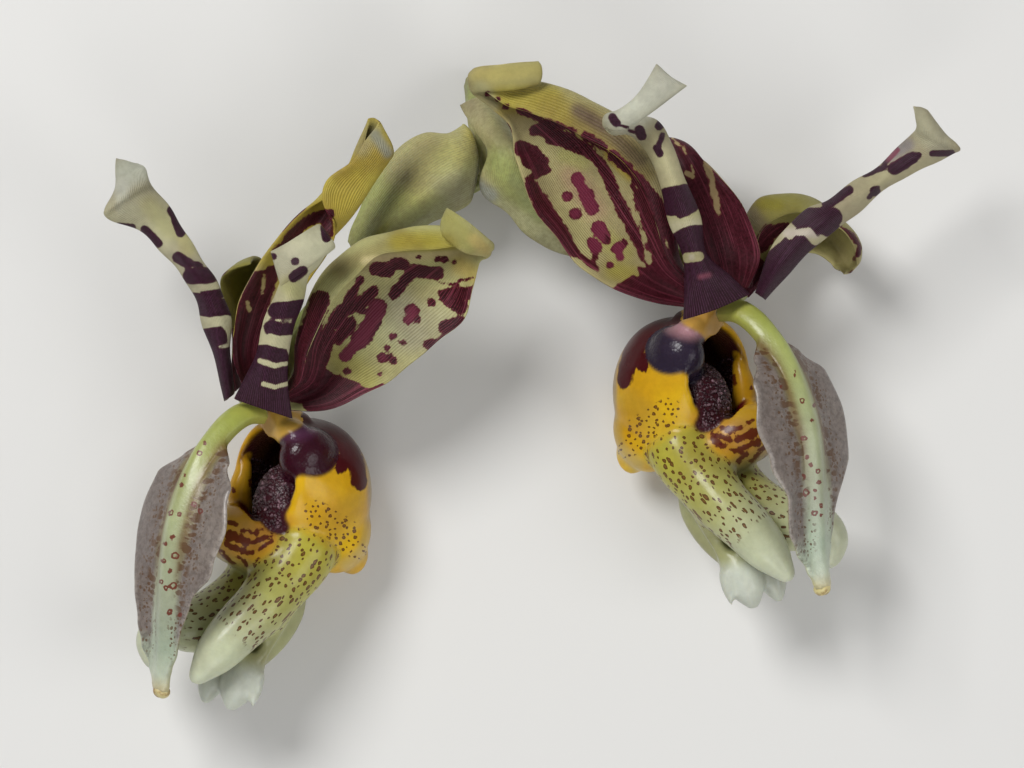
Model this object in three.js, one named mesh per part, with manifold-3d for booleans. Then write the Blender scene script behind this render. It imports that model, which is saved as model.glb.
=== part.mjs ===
// Cut inflorescence of a stanhopea orchid hybrid: two large flowers on one short raceme, with their ovaries
// and papery bracts, lying on its back as picked. Millimetres, +Z up, away from the surface it lies on.
// Each flower has three sepals, two petals, an arching winged column with its anther cap, and one fleshy lip,
// whose sac, pair of horns and toothed front lobe grew together.
import * as THREE from "three";
import { mergeVertices } from "three/addons/utils/BufferGeometryUtils.js";
import Module from "manifold-3d";

const wasm = await Module();
wasm.setup();

const originShift = [-4.05, 1.3, 0];
const segmentThickness = 1.1;
const bractThickness = 0.9;
const clearance = 0.4;

// Where each flower stands, and the directions of its parts: forward is from the lip to the column,
// down is along the lip from its claw to its tip.
const flowers = {
  left: { base: [-50, -3.6, 25.5], forward: [-0.72, 0.1, 0.69], down: [-0.225, -0.974, 0] },
  right: { base: [42, 16.8, 25.5], forward: [0.72, 0.1, 0.69], down: [0.225, -0.974, 0] },
};

// Sepals and petals, measured from the middle of their flower. Each row is a line across the segment, from its
// near margin to its far one, and the rows run from its base to its tip. The surface passes through them smoothly.
const segments = {
  right: {
    near_sepal: {
      steps: [20, 8],
      rows: [
        [[-5, 1.8, 4.4], [-4.4, 2.4, 2], [-4.6, 1.8, -0.2], [-5, 0.6, -1.2], [-5.4, -0.6, -0.8], [-5.8, -1.6, 0.6]],
        [[-10.4, 7.6, 9], [-8.8, 7.6, 5], [-10, 6.8, 1], [-12, 5, -1], [-14.4, 2.8, 0], [-16.4, 0.2, 3]],
        [[-13.4, 14.8, 12], [-11.6, 15.2, 8], [-13.2, 14, 2], [-16.8, 10.8, -1], [-20.8, 7.2, 0], [-24.8, 3.8, 4]],
        [[-17.2, 23.2, 14], [-14.8, 23.2, 10], [-16.8, 21.6, 2], [-21.6, 17.2, -1], [-26.8, 13, 0], [-32, 10.8, 5]],
        [[-23.6, 30, 14], [-20, 32.4, 10], [-22, 28.8, 2], [-26.8, 24.4, -1], [-32.4, 20, 0], [-38, 19.4, 5]],
        [[-31.2, 33.8, 13], [-27.2, 39.2, 9], [-28.8, 35.6, 2], [-32.4, 30.8, 0], [-36.4, 27, 1], [-40.6, 27.2, 5]],
        [[-38.4, 36.6, 12], [-34, 42.2, 9], [-36, 39.2, 3], [-38.4, 36, 2], [-40.4, 33.2, 3], [-42.2, 33.2, 5]],
        [[-44.4, 38.8, 11], [-42, 43.2, 9], [-42.8, 41.6, 6], [-44, 39.2, 5], [-45, 38, 6], [-46, 37.8, 7]],
        [[-50, 45, 12], [-50.4, 44, 11.5], [-50.4, 43, 11], [-50.2, 42.2, 10.5], [-49.8, 41.4, 10], [-49.2, 40.6, 9.4]],
        [[-43.8, 46.2, 14], [-43.8, 45.2, 14], [-43.6, 44.2, 14], [-43.4, 43.2, 14], [-43.2, 42.2, 14], [-43, 41.2, 13.6]],
        [[-36.8, 47, 12], [-36.2, 46.2, 12], [-36, 45.2, 12], [-36, 44.2, 12], [-36.2, 43.2, 12], [-36.6, 42.4, 12]],
      ],
    },
    near_petal: {
      steps: [26, 4],
      rows: [
        [[-8, -4, 6], [-1.6, -1.8, 8], [5.2, 1.2, 6]],
        [[-7.8, 2, 8], [-3.6, 3.2, 11], [1.2, 4.8, 9]],
        [[-8.2, 8.4, 10], [-5.6, 8.8, 13], [-3.2, 9.2, 11]],
        [[-10.8, 15.6, 12], [-7.8, 15.8, 15], [-4.8, 16, 13]],
        [[-12.8, 22, 14], [-10.2, 22.4, 17], [-7.8, 23, 15]],
        [[-15.8, 28.4, 16], [-12.8, 29.2, 19], [-10.2, 30, 17]],
        [[-19, 32, 18], [-16.4, 33.6, 20.5], [-13.6, 35.2, 19]],
        [[-22.4, 32.4, 20], [-21.6, 34.2, 22], [-20.6, 36, 21]],
        [[-23.6, 33.2, 23], [-23.8, 34.6, 24], [-23.4, 36, 23.5]],
        [[-20, 33, 25.6], [-20.4, 35, 27], [-20.8, 36.8, 26.6]],
        [[-14.4, 36.4, 26.6], [-15.8, 38.4, 28], [-17.2, 40.2, 27.6]],
        [[-7.8, 41.4, 26], [-11, 43.2, 27], [-13.8, 46, 26]],
      ],
    },
    outer_petal: {
      steps: [24, 4],
      rows: [
        [[6.6, 1.4, 2.6], [7.4, 0.8, 4.4], [8.4, 0, 2.6]],
        [[8.8, 8.4, 4], [10.8, 6.6, 7], [12.8, 4.8, 4]],
        [[12.2, 13.6, 5], [14.8, 11.6, 8], [17.2, 9.6, 5]],
        [[16.4, 18.2, 6], [19.2, 15.6, 9], [21.6, 13.2, 6]],
        [[20.8, 20.2, 6], [22.8, 18.2, 8], [24.8, 16.2, 5]],
        [[25.6, 23.4, 5], [27.6, 21.4, 7], [29.4, 19.8, 4]],
        [[30.8, 26.6, 4], [32.4, 24.6, 6], [34, 23.2, 3]],
        [[35.2, 30.6, 4], [37.2, 28, 6], [39.6, 26.2, 3]],
        [[37.6, 33, 5.6], [41.6, 30.6, 8], [45.6, 28.8, 5]],
        [[38.4, 34.4, 8], [42.4, 31.8, 9.4], [47, 30, 7]],
        [[38, 36.2, 9], [40.8, 34.8, 9.4], [44.4, 32.4, 8]],
        [[37.6, 38.2, 9], [38.8, 38, 9], [40.2, 37.4, 8]],
      ],
    },
    dorsal_sepal: {
      steps: [16, 8],
      rows: [
        [[-2.6, 2.6, 2.6], [-1, 2.6, 0.8], [1.2, 2.6, 0.2], [3.4, 2.6, 0.8], [5.2, 2.4, 2.6]],
        [[-5.6, 7.6, 7], [-3.2, 8.4, 4], [0, 8.8, 3], [3.6, 8.8, 4], [7.2, 8.8, 7]],
        [[-8, 14.8, 8], [-5.6, 15.6, 5], [-2.4, 16, 4], [1.2, 16.4, 5], [4.6, 16.6, 8]],
        [[-10.8, 21.6, 8], [-8.4, 22.4, 5], [-5.2, 22.8, 4], [-2, 23.2, 5], [1, 22, 8]],
        [[-13.2, 26.8, 5], [-11.2, 28, 3], [-8.4, 28.8, 2], [-5.6, 28.6, 3], [-3.2, 27, 5]],
        [[-14.4, 30, 0], [-13.2, 31.2, -1], [-11.4, 32, -2], [-9.4, 31.8, -1], [-7.6, 30.8, 0]],
        [[-15.2, 30.8, -6], [-14.4, 31.8, -7], [-13.6, 32.4, -8], [-12.8, 32.6, -7], [-12, 32.2, -6]],
      ],
    },
    far_sepal: {
      steps: [16, 8],
      rows: [
        [[6, 2.6, -2.4], [4.6, 3.2, -3.6], [4, 2.6, -5.6], [4.4, 1.4, -6.6], [5.6, 0.6, -6.4]],
        [[7, 10.4, -3], [4.4, 13.6, -7], [6.8, 10.8, -13], [10, 8.8, -13], [11.6, 7.6, -9]],
        [[9, 15.2, -4], [7.2, 20, -8], [10.8, 15.6, -16], [14, 12, -17], [15.6, 9.6, -13]],
        [[14.2, 17.2, -5], [12.8, 21, -9], [15.6, 17.2, -18], [18, 12.8, -20], [19.2, 9.2, -16]],
        [[19.6, 16.4, -6], [19.6, 19.6, -10], [20.8, 16, -18], [22, 12, -20], [22, 7.6, -16]],
        [[24, 14, -6], [24.8, 15.6, -10], [25.2, 12.4, -17], [24.8, 9.2, -19], [23.2, 6.4, -15]],
        [[26.8, 10.8, -6], [28, 11.2, -9], [27.2, 8.8, -14], [26, 6.8, -15], [24, 5.6, -12]],
        [[27.2, 7.2, -6], [27.6, 7.2, -8], [26.8, 6, -11], [26, 5.2, -11], [24.8, 4.8, -9]],
      ],
    },
  },
  left: {
    near_sepal: {
      steps: [20, 8],
      rows: [
        [[5, 1.8, 4.4], [4.4, 2.4, 2], [4.6, 1.8, -0.2], [5, 0.6, -1.2], [5.4, -0.6, -0.8], [5.8, -1.6, 0.6]],
        [[8.2, 4.4, 9], [7, 6, 5], [8.4, 5.2, 1], [10.8, 3.6, -1], [12.4, 1.4, 0], [13.6, -1.6, 3]],
        [[10, 10.4, 12], [7.6, 12.8, 8], [9.6, 12, 2], [13.6, 10, -1], [17.6, 6.8, 0], [21.2, 2, 4]],
        [[13.2, 16.8, 14], [10, 20.4, 10], [12.4, 18.4, 2], [17.6, 15.6, -1], [23.2, 11.2, 0], [28.2, 6.4, 5]],
        [[18, 23.6, 14], [14.4, 27.2, 10], [16.8, 24.8, 2], [22.4, 21.2, -1], [28.8, 16.4, 0], [34.4, 11.4, 5]],
        [[24, 29.2, 13], [20, 31.8, 9.6], [22.4, 29.2, 2], [28, 26, 0], [34, 21.6, 1], [40.4, 16.4, 5]],
        [[31.6, 30.4, 12], [27.6, 33.6, 9.4], [29.6, 31.6, 3], [34, 29.2, 2], [38.4, 26.4, 3], [42.4, 22.4, 6]],
        [[39.2, 30.6, 11], [35.6, 34.6, 9.4], [37.2, 32.8, 6], [39.6, 30.8, 6], [41.6, 29.2, 7], [43.6, 27.6, 8]],
        [[45.6, 31.2, 12], [45.8, 30.8, 11.5], [45.8, 30.4, 11], [45.6, 30, 10.4], [45.4, 29.4, 9.8], [44.8, 28.6, 9.4]],
        [[42.4, 34.8, 14.4], [42, 33.8, 14.4], [41.6, 32.8, 14.4], [41, 31.8, 14.4], [40.4, 31, 14], [39.8, 30.2, 13.6]],
        [[37.2, 38.4, 12.6], [36.8, 37.8, 12.6], [36.4, 37, 12.6], [36, 36, 12.6], [35.8, 34.6, 12.6], [36.2, 32.8, 12.6]],
      ],
    },
    near_petal: {
      steps: [26, 4],
      rows: [
        [[-5.2, 0.8, 6], [0.8, -1.2, 8], [6.4, -3.2, 6]],
        [[-2.8, 5.2, 9], [1.2, 4.2, 11], [5.6, 3.6, 9]],
        [[-0.8, 9.2, 11], [2.4, 9.2, 13], [5.8, 9.2, 11]],
        [[1, 14, 13], [3.8, 14.2, 15], [7, 14.4, 13]],
        [[2.8, 19.2, 14], [5.6, 19.4, 16.5], [8.6, 19.4, 14]],
        [[4.4, 24, 16], [7.2, 24.4, 18], [9.4, 25, 16]],
        [[7.2, 28.4, 18], [9.8, 27.6, 20], [12, 27.6, 18]],
        [[10.6, 33.4, 20], [12.6, 31.8, 22], [14.4, 30, 21]],
        [[11.8, 34.5, 23], [13.8, 32.3, 24], [15.4, 30.1, 23]],
        [[9, 32.9, 25.5], [10.4, 30.3, 26.5], [12, 27.5, 25.5]],
        [[5.6, 30.9, 26], [7.2, 28.1, 27], [8.4, 24.9, 26]],
        [[2.8, 29.5, 25], [3.8, 26.3, 26], [4.8, 22.7, 25]],
      ],
    },
    outer_petal: {
      steps: [24, 4],
      rows: [
        [[-7.2, 0.2, 2.6], [-6.4, 1, 4.2], [-5.4, 2, 2.6]],
        [[-9.2, 8.4, 5], [-7.6, 9.2, 7], [-6, 10, 5]],
        [[-11.2, 14.4, 6], [-8.6, 15.4, 8], [-6, 16.6, 6]],
        [[-13, 20.8, 6], [-10.8, 21.8, 8], [-8, 22.8, 6]],
        [[-16, 26.2, 6], [-13.8, 27, 8], [-11.2, 27.8, 6]],
        [[-20.2, 30.4, 5], [-17.4, 31.4, 7], [-14.2, 32.6, 5]],
        [[-24.4, 34.2, 6], [-20.8, 35.8, 7], [-17.2, 37.6, 5]],
        [[-30, 36.4, 9], [-25.6, 39.6, 10], [-20.8, 42.2, 7]],
        [[-30.6, 38.2, 11], [-26.2, 41.2, 11.4], [-22, 44.2, 9]],
        [[-28.6, 42.8, 10], [-25.6, 44.4, 10.4], [-22.8, 46.4, 9]],
        [[-28.4, 48.2, 8], [-26.6, 47.8, 8.4], [-24.4, 46.6, 8]],
      ],
    },
    dorsal_sepal: {
      steps: [20, 8],
      rows: [
        [[-3.4, 2.4, 2.4], [-2, 2.8, 0.8], [0, 3, 0.2], [1.6, 3, 0.8], [2.8, 2.6, 2.2]],
        [[-5.2, 9.2, 7], [-3.6, 9.6, 4.6], [-1.2, 10, 4], [1.6, 10, 5], [4, 9.6, 7]],
        [[-4.4, 18, 11], [-2, 18.6, 8], [1.6, 19.2, 6], [4.8, 19, 7], [7, 18.6, 9]],
        [[-0.8, 26, 12], [1.6, 25.8, 9], [5.2, 25.8, 7], [8.4, 25.6, 7], [10.4, 25.4, 9]],
        [[3, 31.8, 12], [5.2, 31.2, 9], [8.8, 30.6, 6], [12, 30.6, 7], [14.4, 32.2, 11]],
        [[8.4, 38, 10], [9.4, 36.8, 7], [12.8, 35.6, 5], [16.8, 36, 9], [13, 38.6, 14]],
        [[14.8, 42, 9.4], [13.6, 42.6, 7.4], [16.8, 41.2, 5], [21, 41.8, 9], [13.6, 43.4, 14]],
        [[18.8, 45.2, 10], [17.6, 46.4, 8], [21, 46, 5.6], [25, 47.8, 9.6], [18, 47.2, 13.8]],
        [[20.8, 49.6, 10.4], [20, 51, 9], [22.8, 50.6, 8], [25.8, 50.2, 10.6], [21, 51.6, 13.6]],
        [[21.6, 56, 12], [22.2, 56.2, 11.4], [22.8, 56.2, 11], [23.4, 55.8, 11.2], [24, 55.2, 11.8]],
      ],
    },
    far_sepal: {
      steps: [14, 8],
      rows: [
        [[-5.6, 2, -2.8], [-4.6, 3, -4.4], [-3.8, 3.2, -6.4], [-3.6, 2.4, -8], [-4, 1.2, -8.8]],
        [[-6, 10.4, -3], [-5, 10.4, -8], [-2.4, 10.4, -12], [0, 10.4, -13], [2, 10.4, -10]],
        [[-7.4, 18.4, -4], [-5.6, 18.8, -12], [-2.4, 19.2, -17], [0.4, 19.2, -16], [2, 19.2, -11]],
        [[-8, 23.6, -4], [-6.4, 25.2, -12], [-3.2, 25.6, -18], [-0.6, 24.8, -16], [1, 23.6, -10]],
        [[-6, 25.8, -2], [-4.8, 27.2, -8], [-2.8, 28, -13], [-1.2, 27.6, -13], [0, 26.4, -9]],
        [[-2.4, 28, 1], [-2, 28.4, -1], [-1.6, 28.6, -3], [-1, 28.6, -5], [-0.4, 28.2, -6]],
      ],
    },
  },
};

// Bracts, rachis and ovaries, measured in the inflorescence's own frame. Bract rows run from one margin over the
// bulging back to the other.
const bracts = {
  left: {
    steps: [14, 8],
    rows: [
      [[-9.4, 49.4, 11], [-8.6, 47.6, 15.4], [-7.6, 45.2, 17.4], [-8, 42.8, 15.6], [-8.8, 40.8, 11]],
      [[-9.6, 52.8, 13], [-8.2, 49.8, 19], [-7.2, 45.2, 21.4], [-7.6, 40.8, 19.6], [-9.2, 36.4, 15]],
      [[-13.4, 51, 14], [-11.2, 48.4, 24], [-10, 43.6, 28], [-10.4, 38.8, 26], [-12, 34, 18]],
      [[-17.6, 50.6, 13], [-15.6, 46.8, 24], [-14, 41.2, 29], [-14.4, 36.4, 26], [-16.4, 32.4, 18]],
      [[-22.8, 46.8, 12], [-20.8, 43.2, 23], [-18.8, 37.6, 28], [-19.2, 33.2, 25], [-21.6, 29.6, 18.6]],
      [[-27.6, 41.6, 12], [-26, 38, 21], [-24, 33.6, 25], [-24, 30.4, 23], [-26, 27.2, 19]],
      [[-31.2, 33.6, 12], [-30, 31.6, 18], [-28.4, 29.2, 22], [-28.4, 27.2, 21], [-29.6, 25.2, 19]],
      [[-32.6, 28.4, 14], [-32.4, 27.6, 17], [-31.8, 26.6, 19.4], [-31.6, 25.6, 19.8], [-31.8, 24.6, 19.4]],
    ],
  },
  right: {
    steps: [14, 8],
    rows: [
      [[-10.2, 56.4, 8.6], [-8.4, 57.4, 11.6], [-6, 58, 12.8], [-3.6, 57.4, 11.6], [-1.8, 56.4, 8.6]],
      [[-7.6, 51.2, 17], [-5.8, 52, 20.6], [-3.4, 52.4, 21.6], [-1, 51.8, 19.6], [0.6, 50.6, 14]],
      [[-4.4, 46.4, 22], [-2.4, 46.8, 25], [0, 46.8, 26], [2.4, 46.4, 23], [4, 45.2, 16]],
      [[-5.4, 39.2, 21], [-2, 40.4, 25], [1.6, 41.2, 26], [4.8, 41.2, 23], [6.6, 40.4, 16]],
      [[0, 33.4, 19], [2.4, 35.2, 23], [5.2, 36.2, 24], [7.6, 36.4, 21], [9.2, 35.6, 15]],
      [[6.6, 27.6, 16], [7.6, 29.8, 19], [9.2, 31.2, 20], [10.8, 31.6, 18], [12, 31, 14]],
      [[12, 26, 14], [12.2, 26.8, 15], [12.8, 27.6, 15.6], [13.4, 27.8, 15], [13.8, 27.4, 13.4]],
    ],
  },
};

const rachis = {
  spine: [[-6.6, 61, 1.1], [-6, 57, 7.1], [-4.8, 50.6, 9.8], [-3.8, 44, 11], [-3, 38, 11]],
  radius: [3.3, 3.4, 3.7, 4, 2.6],
  sides: 12,
  rings: 12,
  roundEnd: 0.12,
};

const ovaries = {
  left: {
    spine: [[-5, 42, 11], [-10, 39.4, 11.7], [-18, 34, 13.6], [-30, 24.6, 16.4], [-41, 12.6, 19], [-48.5, -1.4, 20.8]],
    radius: [1.9, 1.9, 2, 2.2, 2.6, 4.4],
  },
  right: {
    spine: [[-2.4, 45.6, 11], [3, 44.2, 11.7], [10, 41, 13.4], [23, 33, 16.4], [34.6, 24.6, 19.6], [40.5, 19, 20.8]],
    radius: [1.9, 1.9, 2, 2.2, 2.6, 4.4],
  },
};

// The swollen top of each ovary, measured from the middle of its flower, with a seat for every segment's base.
const receptacle = { at: [0.7, 0.4, 0], radius: [6.2, 3.3, 7.2] };

// Column and lip, in their flower's frame: x forward, y up, z to the side.
// Widths along the column are pairs of a place on it, from 0 at its base to 1 at its tip, and half the width there.
const column = {
  spine: [[0, -3.4, 0], [3.6, -4.2, 0], [6.4, -6.4, 0], [9, -10, 0], [11.6, -14.6, 0], [13.5, -20, 0],
    [14.2, -28.4, 0], [13.1, -37, 0], [11.2, -45.6, 0], [9.6, -52, 0], [8.6, -57.4, 0]],
  facing: [0.1, -1, 0],
  width: [[0, 2.4], [0.17, 2.6], [0.25, 7], [0.33, 11.2], [0.46, 13.2], [0.58, 12], [0.7, 9.6], [0.8, 9],
    [0.9, 7.4], [0.96, 4.6], [1, 2.2]],
  curl: [[0, 30], [0.2, 8], [0.33, 3], [0.46, 9], [0.58, 3], [0.7, -16], [1, -14]],
  ridge: [[0, 3], [0.2, 3], [0.4, 1.8], [1, 1.6]],
  ridgeWidth: 2.8,
  thickness: 0.9,
  gather: 1.5,
  steps: [20, 8],
};

const anther = { at: [8.4, -60, 0], radius: [2.1, 1.9, 1.9] };

// The sac's outside and its cavity as rings round its forward axis, from the back to the mouth:
// [forward, height, half height, half width, forward lean of the ring's top].
const sacOutside = [
  [-29.4, -17.4, 3.4, 3.2, 0],
  [-28.2, -17.4, 8, 7, 0],
  [-25.6, -17, 12, 10.4, 0],
  [-21.4, -16.4, 14.6, 12.4, 0],
  [-16.4, -15.8, 15, 12.8, 0],
  [-11, -15.2, 13.6, 12, 0.06],
  [-7, -14.4, 11.8, 10.8, 0.12],
  [-5.4, -14.2, 10.6, 9.8, 0.15],
];

const sacInside = [
  [-24.4, -17, 3.4, 3, 0],
  [-22.6, -16.8, 8.4, 7.4, 0],
  [-19, -16, 11.6, 10, 0],
  [-14, -15.6, 12, 10.6, 0.06],
  [-9, -14.8, 10.8, 9.4, 0.12],
  [-5.8, -14.2, 9.6, 8.6, 0.15],
  [-2, -14, 9.8, 9, 0.15],
];

const heel = { at: [-23.4, -22.4, 5], radius: [6.8, 8.4, 6.6] };
const bean = { at: [-8.2, -7.6, 8], radius: [4.8, 4.6, 4] };
const bridge = { at: [-10.6, -28.6, 0], radius: [8.2, 6.2, 8] };

const claw = { spine: [[-3.2, -4, 0], [-6.4, -3, 0], [-11, -4, 0]], radius: [2.8, 3.2, 4], rings: 5, sides: 8 };

// The two horns below the sac: the near one, and the far one, which swings out wider behind the column.
const hornShape = { sides: 10, rings: 10, roundStart: 0.1, roundEnd: 0.08 };
const horns = [
  {
    spine: [[-16.3, -22.2, 5.9], [-14.1, -28.4, 5.7], [-10.7, -34.5, 5.5], [-7.1, -39.5, 6],
      [-2.8, -45.6, 4.9], [0.2, -51.4, 3.5], [2.5, -57.2, 1.6]],
    radius: [7, 6.8, 6.2, 5.7, 5.2, 4.2, 2],
  },
  {
    spine: [[-16.8, -22, -6.4], [-15.6, -28.7, -6.3], [-13.2, -35.8, -5.1], [-8.9, -42.3, -5.6], [-3.8, -46.4, -7.7],
      [0.9, -48.4, -11.3], [2.6, -51.5, -12.7], [2.6, -54.7, -12.1], [1.7, -57.4, -10.7]],
    radius: [7, 6.8, 6.2, 6.2, 6.4, 6, 5, 3.6, 1.8],
  },
].map((horn) => ({ ...horn, ...hornShape }));

const frontLobe = {
  spine: [[-20, -28, 0], [-17.4, -36, 0], [-14, -43.4, 0], [-11.4, -50, 0], [-9.9, -57, 0]],
  facing: [1, 0.3, 0],
  width: [[0, 7], [0.3, 9], [0.55, 8.4], [0.75, 6.6], [0.9, 5.4], [1, 4.8]],
  curl: [[0, 40], [0.5, 40], [1, 20]],
  thickness: 2.2,
  ridge: [[0, 2], [0.5, 1.6], [1, 0.2]],
  ridgeWidth: 5,
  steps: [10, 6],
};

// The three teeth that end the front lobe.
const teeth = [
  { at: [-8.2, -56.2, 2.4], radius: [2.8, 5.8, 4.2] },
  { at: [-7, -56.6, -4.4], radius: [2.4, 5.4, 2.6] },
  { at: [-9.6, -57.5, 6], radius: [1.6, 3.6, 1.8] },
];

const toRadians = THREE.MathUtils.degToRad;

// A smooth run through four values in turn, at t from the second to the third.
function smooth(a, b, c, d, t) {
  return 0.5 * (2 * b + (c - a) * t + (2 * a - 5 * b + 4 * c - d) * t ** 2 + (3 * b - a - 3 * c + d) * t ** 3);
}

const inside = (u) => Math.min(Math.max(u, 0), 1);

// Which keys lie round u, and how far it is between the middle two.
function span(count, u) {
  const x = inside(u) * (count - 1);
  const i = Math.min(Math.floor(x), count - 2);
  return [[Math.max(i - 1, 0), i, i + 1, Math.min(i + 2, count - 1)], x - i];
}

// A value at u from evenly spaced keys, or from pairs of a place and a value.
function along(keys, u) {
  if (!Array.isArray(keys[0])) {
    const [[a, b, c, d], t] = span(keys.length, u);
    return smooth(keys[a], keys[b], keys[c], keys[d], t);
  }
  const i = Math.max(keys.findIndex(([place]) => place >= u), 1);
  const t = (u - keys[i - 1][0]) / (keys[i][0] - keys[i - 1][0]);
  return THREE.MathUtils.lerp(keys[i - 1][1], keys[i][1], t * t * (3 - 2 * t));
}

// The surface through the rows of a segment, at u from its base to its tip and v from one margin to the other.
function rowSurface(rows) {
  return (u, v) => {
    const [lines, t] = span(rows.length, u);
    const [columns, s] = span(rows[0].length, v);
    const axis = (k) => smooth(...lines.map((i) => smooth(...columns.map((j) => rows[i][j][k]), s)), t);
    return new THREE.Vector3(axis(0), axis(1), axis(2));
  };
}

// The spine's point, and the facing and side directions there. The facing is carried along without twist.
function spineFrames({ spine, facing }) {
  const count = 120;
  const curve = new THREE.CatmullRomCurve3(spine.map((p) => new THREE.Vector3(...p)));
  const normal = new THREE.Vector3(...facing);
  const frames = [];
  for (let i = 0; i <= count; i++) {
    const tangent = curve.getTangentAt(i / count);
    normal.addScaledVector(tangent, -normal.dot(tangent)).normalize();
    frames.push({ point: curve.getPointAt(i / count), normal: normal.clone(), side: tangent.cross(normal) });
  }
  return (u) => {
    const x = inside(u) * count;
    const i = Math.min(Math.floor(x), count - 1);
    const between = (key) => frames[i][key].clone().lerp(frames[i + 1][key], x - i);
    return { point: between("point"), normal: between("normal"), side: between("side") };
  };
}

// The middle surface of a blade on a spine, with both halves rolled towards its facing side.
function spineSurface(blade) {
  const frameAt = spineFrames(blade);
  return (u, v) => {
    const { point, normal, side } = frameAt(u);
    const offset = 2 * v - 1;
    const turn = toRadians(along(blade.curl, u)) || 0.001;
    const width = along(blade.width, u);
    return point
      .addScaledVector(side, (Math.sign(offset) * width * Math.sin(turn * Math.abs(offset))) / turn)
      .addScaledVector(normal, (width * (1 - Math.cos(turn * Math.abs(offset)))) / turn);
  };
}

function surfaceNormal(surface, u, v) {
  const e = 0.004;
  const du = surface(Math.min(u + e, 1), v).sub(surface(Math.max(u - e, 0), v));
  const dv = surface(u, Math.min(v + e, 1)).sub(surface(u, Math.max(v - e, 0)));
  return dv.cross(du).normalize();
}

// A geometry from points and triangles, with its faces turned to point out.
function closed(points, triangles) {
  const volume = triangles.reduce((sum, [a, b, c]) => sum + points[a].dot(points[b].clone().cross(points[c])), 0);
  const geometry = new THREE.BufferGeometry();
  geometry.setAttribute("position", new THREE.Float32BufferAttribute(points.flatMap((p) => p.toArray()), 3));
  geometry.setIndex(triangles.flatMap(([a, b, c]) => (volume > 0 ? [a, b, c] : [a, c, b])));
  return geometry;
}

// A blade of some thickness: its middle surface moved to each side and joined round the margin. Each cell is split
// alike on both faces. A ridge is extra thickness on the back, along the middle.
function bladeGeometry({ surface, steps, thickness, width, ridge, ridgeWidth, gather = 1 }) {
  const [long, wide] = steps;
  const row = wide + 1;
  const sheet = (long + 1) * row;
  const faces = [[], []];
  for (let i = 0; i <= long; i++) {
    const u = i / long;
    for (let j = 0; j <= wide; j++) {
      const t = (2 * j) / wide - 1;
      const offset = Math.sign(t) * Math.abs(t) ** gather;
      const v = (1 + offset) / 2;
      const middle = surface(u, v);
      const normal = surfaceNormal(surface, u, v);
      const extra = ridge ? along(ridge, u) * Math.exp(-(((offset * along(width, u)) / ridgeWidth) ** 2)) : 0;
      faces[0].push(middle.clone().addScaledVector(normal, thickness / 2));
      faces[1].push(middle.addScaledVector(normal, -thickness / 2 - extra));
    }
  }
  const triangles = [];
  const quad = (a, b, c, d) => triangles.push([a, b, c], [a, c, d]);
  for (let i = 0; i < long; i++) {
    for (let j = 0; j < wide; j++) {
      const [a, b] = [i * row + j, (i + 1) * row + j];
      quad(a, a + 1, b + 1, b);
      triangles.push([sheet + a, sheet + b + 1, sheet + a + 1], [sheet + a, sheet + b, sheet + b + 1]);
    }
    const [start, end] = [i * row, i * row + wide];
    quad(start, start + row, sheet + start + row, sheet + start);
    quad(end + row, end, sheet + end, sheet + end + row);
  }
  for (let j = 0; j < wide; j++) {
    const end = long * row + j;
    quad(j + 1, j, sheet + j, sheet + j + 1);
    quad(end, end + 1, sheet + end + 1, sheet + end);
  }
  return closed(faces.flat(), triangles);
}

// Room for the base of a segment, with some clearance past its end, its margins and both faces.
function seatOfBlade({ rows, steps: [long, wide] }, share = 0.25) {
  const surface = rowSurface(rows);
  const count = Math.ceil(share * long);
  const past = (point, from, length) => point.add(point.clone().sub(from).setLength(length * clearance));
  return bladeGeometry({
    surface: (u, v) => {
      const [x, y] = [u * (count + 1) - 1, v * (wide + 2) - 1];
      const [a, b] = [inside(x / long), inside(y / wide)];
      const point = surface(a, b);
      if (x < 0) past(point, surface(0.01, b), -x);
      if (y < 0) past(point, surface(a, 0.01), -y);
      if (y > wide) past(point, surface(a, 0.99), y - wide);
      return point;
    },
    steps: [count + 1, wide + 2],
    thickness: segmentThickness + 2 * clearance,
  });
}

// A closed body through a stack of rings, closed at each end on the middle of its last ring.
function ringStack(rings) {
  const sides = rings[0].length;
  const middle = (ring) => ring.reduce((sum, p) => sum.add(p), new THREE.Vector3()).divideScalar(sides);
  const points = [...rings.flat(), middle(rings[0]), middle(rings.at(-1))];
  const [first, last] = [points.length - 2, points.length - 1];
  const top = (rings.length - 1) * sides;
  const triangles = [];
  for (let j = 0; j < sides; j++) {
    const next = (j + 1) % sides;
    for (let k = 0; k < top; k += sides) {
      triangles.push([k + j, k + next, k + next + sides], [k + j, k + next + sides, k + j + sides]);
    }
    triangles.push([first, next, j], [last, top + j, top + next]);
  }
  return closed(points, triangles);
}

// A tube on a spine. Rounded ends draw its rings in, over a share of its length.
function tubeGeometry({ spine, radius, sides, rings, roundStart = 0, roundEnd = 0 }) {
  const frameAt = spineFrames({ spine, facing: [0, 0, 1] });
  const roundOff = (distance, reach) => (reach ? Math.sqrt(1 - (1 - Math.min(distance / reach, 1)) ** 2) : 1);
  const stack = [];
  for (let k = 0; k <= rings; k++) {
    const u = (1 - Math.cos((Math.PI * k) / rings)) / 2;
    const { point, normal, side } = frameAt(u);
    const r = Math.max(along(radius, u) * roundOff(u, roundStart) * roundOff(1 - u, roundEnd), 0.3);
    stack.push(Array.from({ length: sides }, (_, j) => {
      const angle = (2 * Math.PI * j) / sides;
      return point.clone().addScaledVector(side, r * Math.cos(angle)).addScaledVector(normal, r * Math.sin(angle));
    }));
  }
  return ringStack(stack);
}

const grownTube = (tube) => ({ ...tube, radius: tube.radius.map((r) => r + clearance) });

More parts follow.
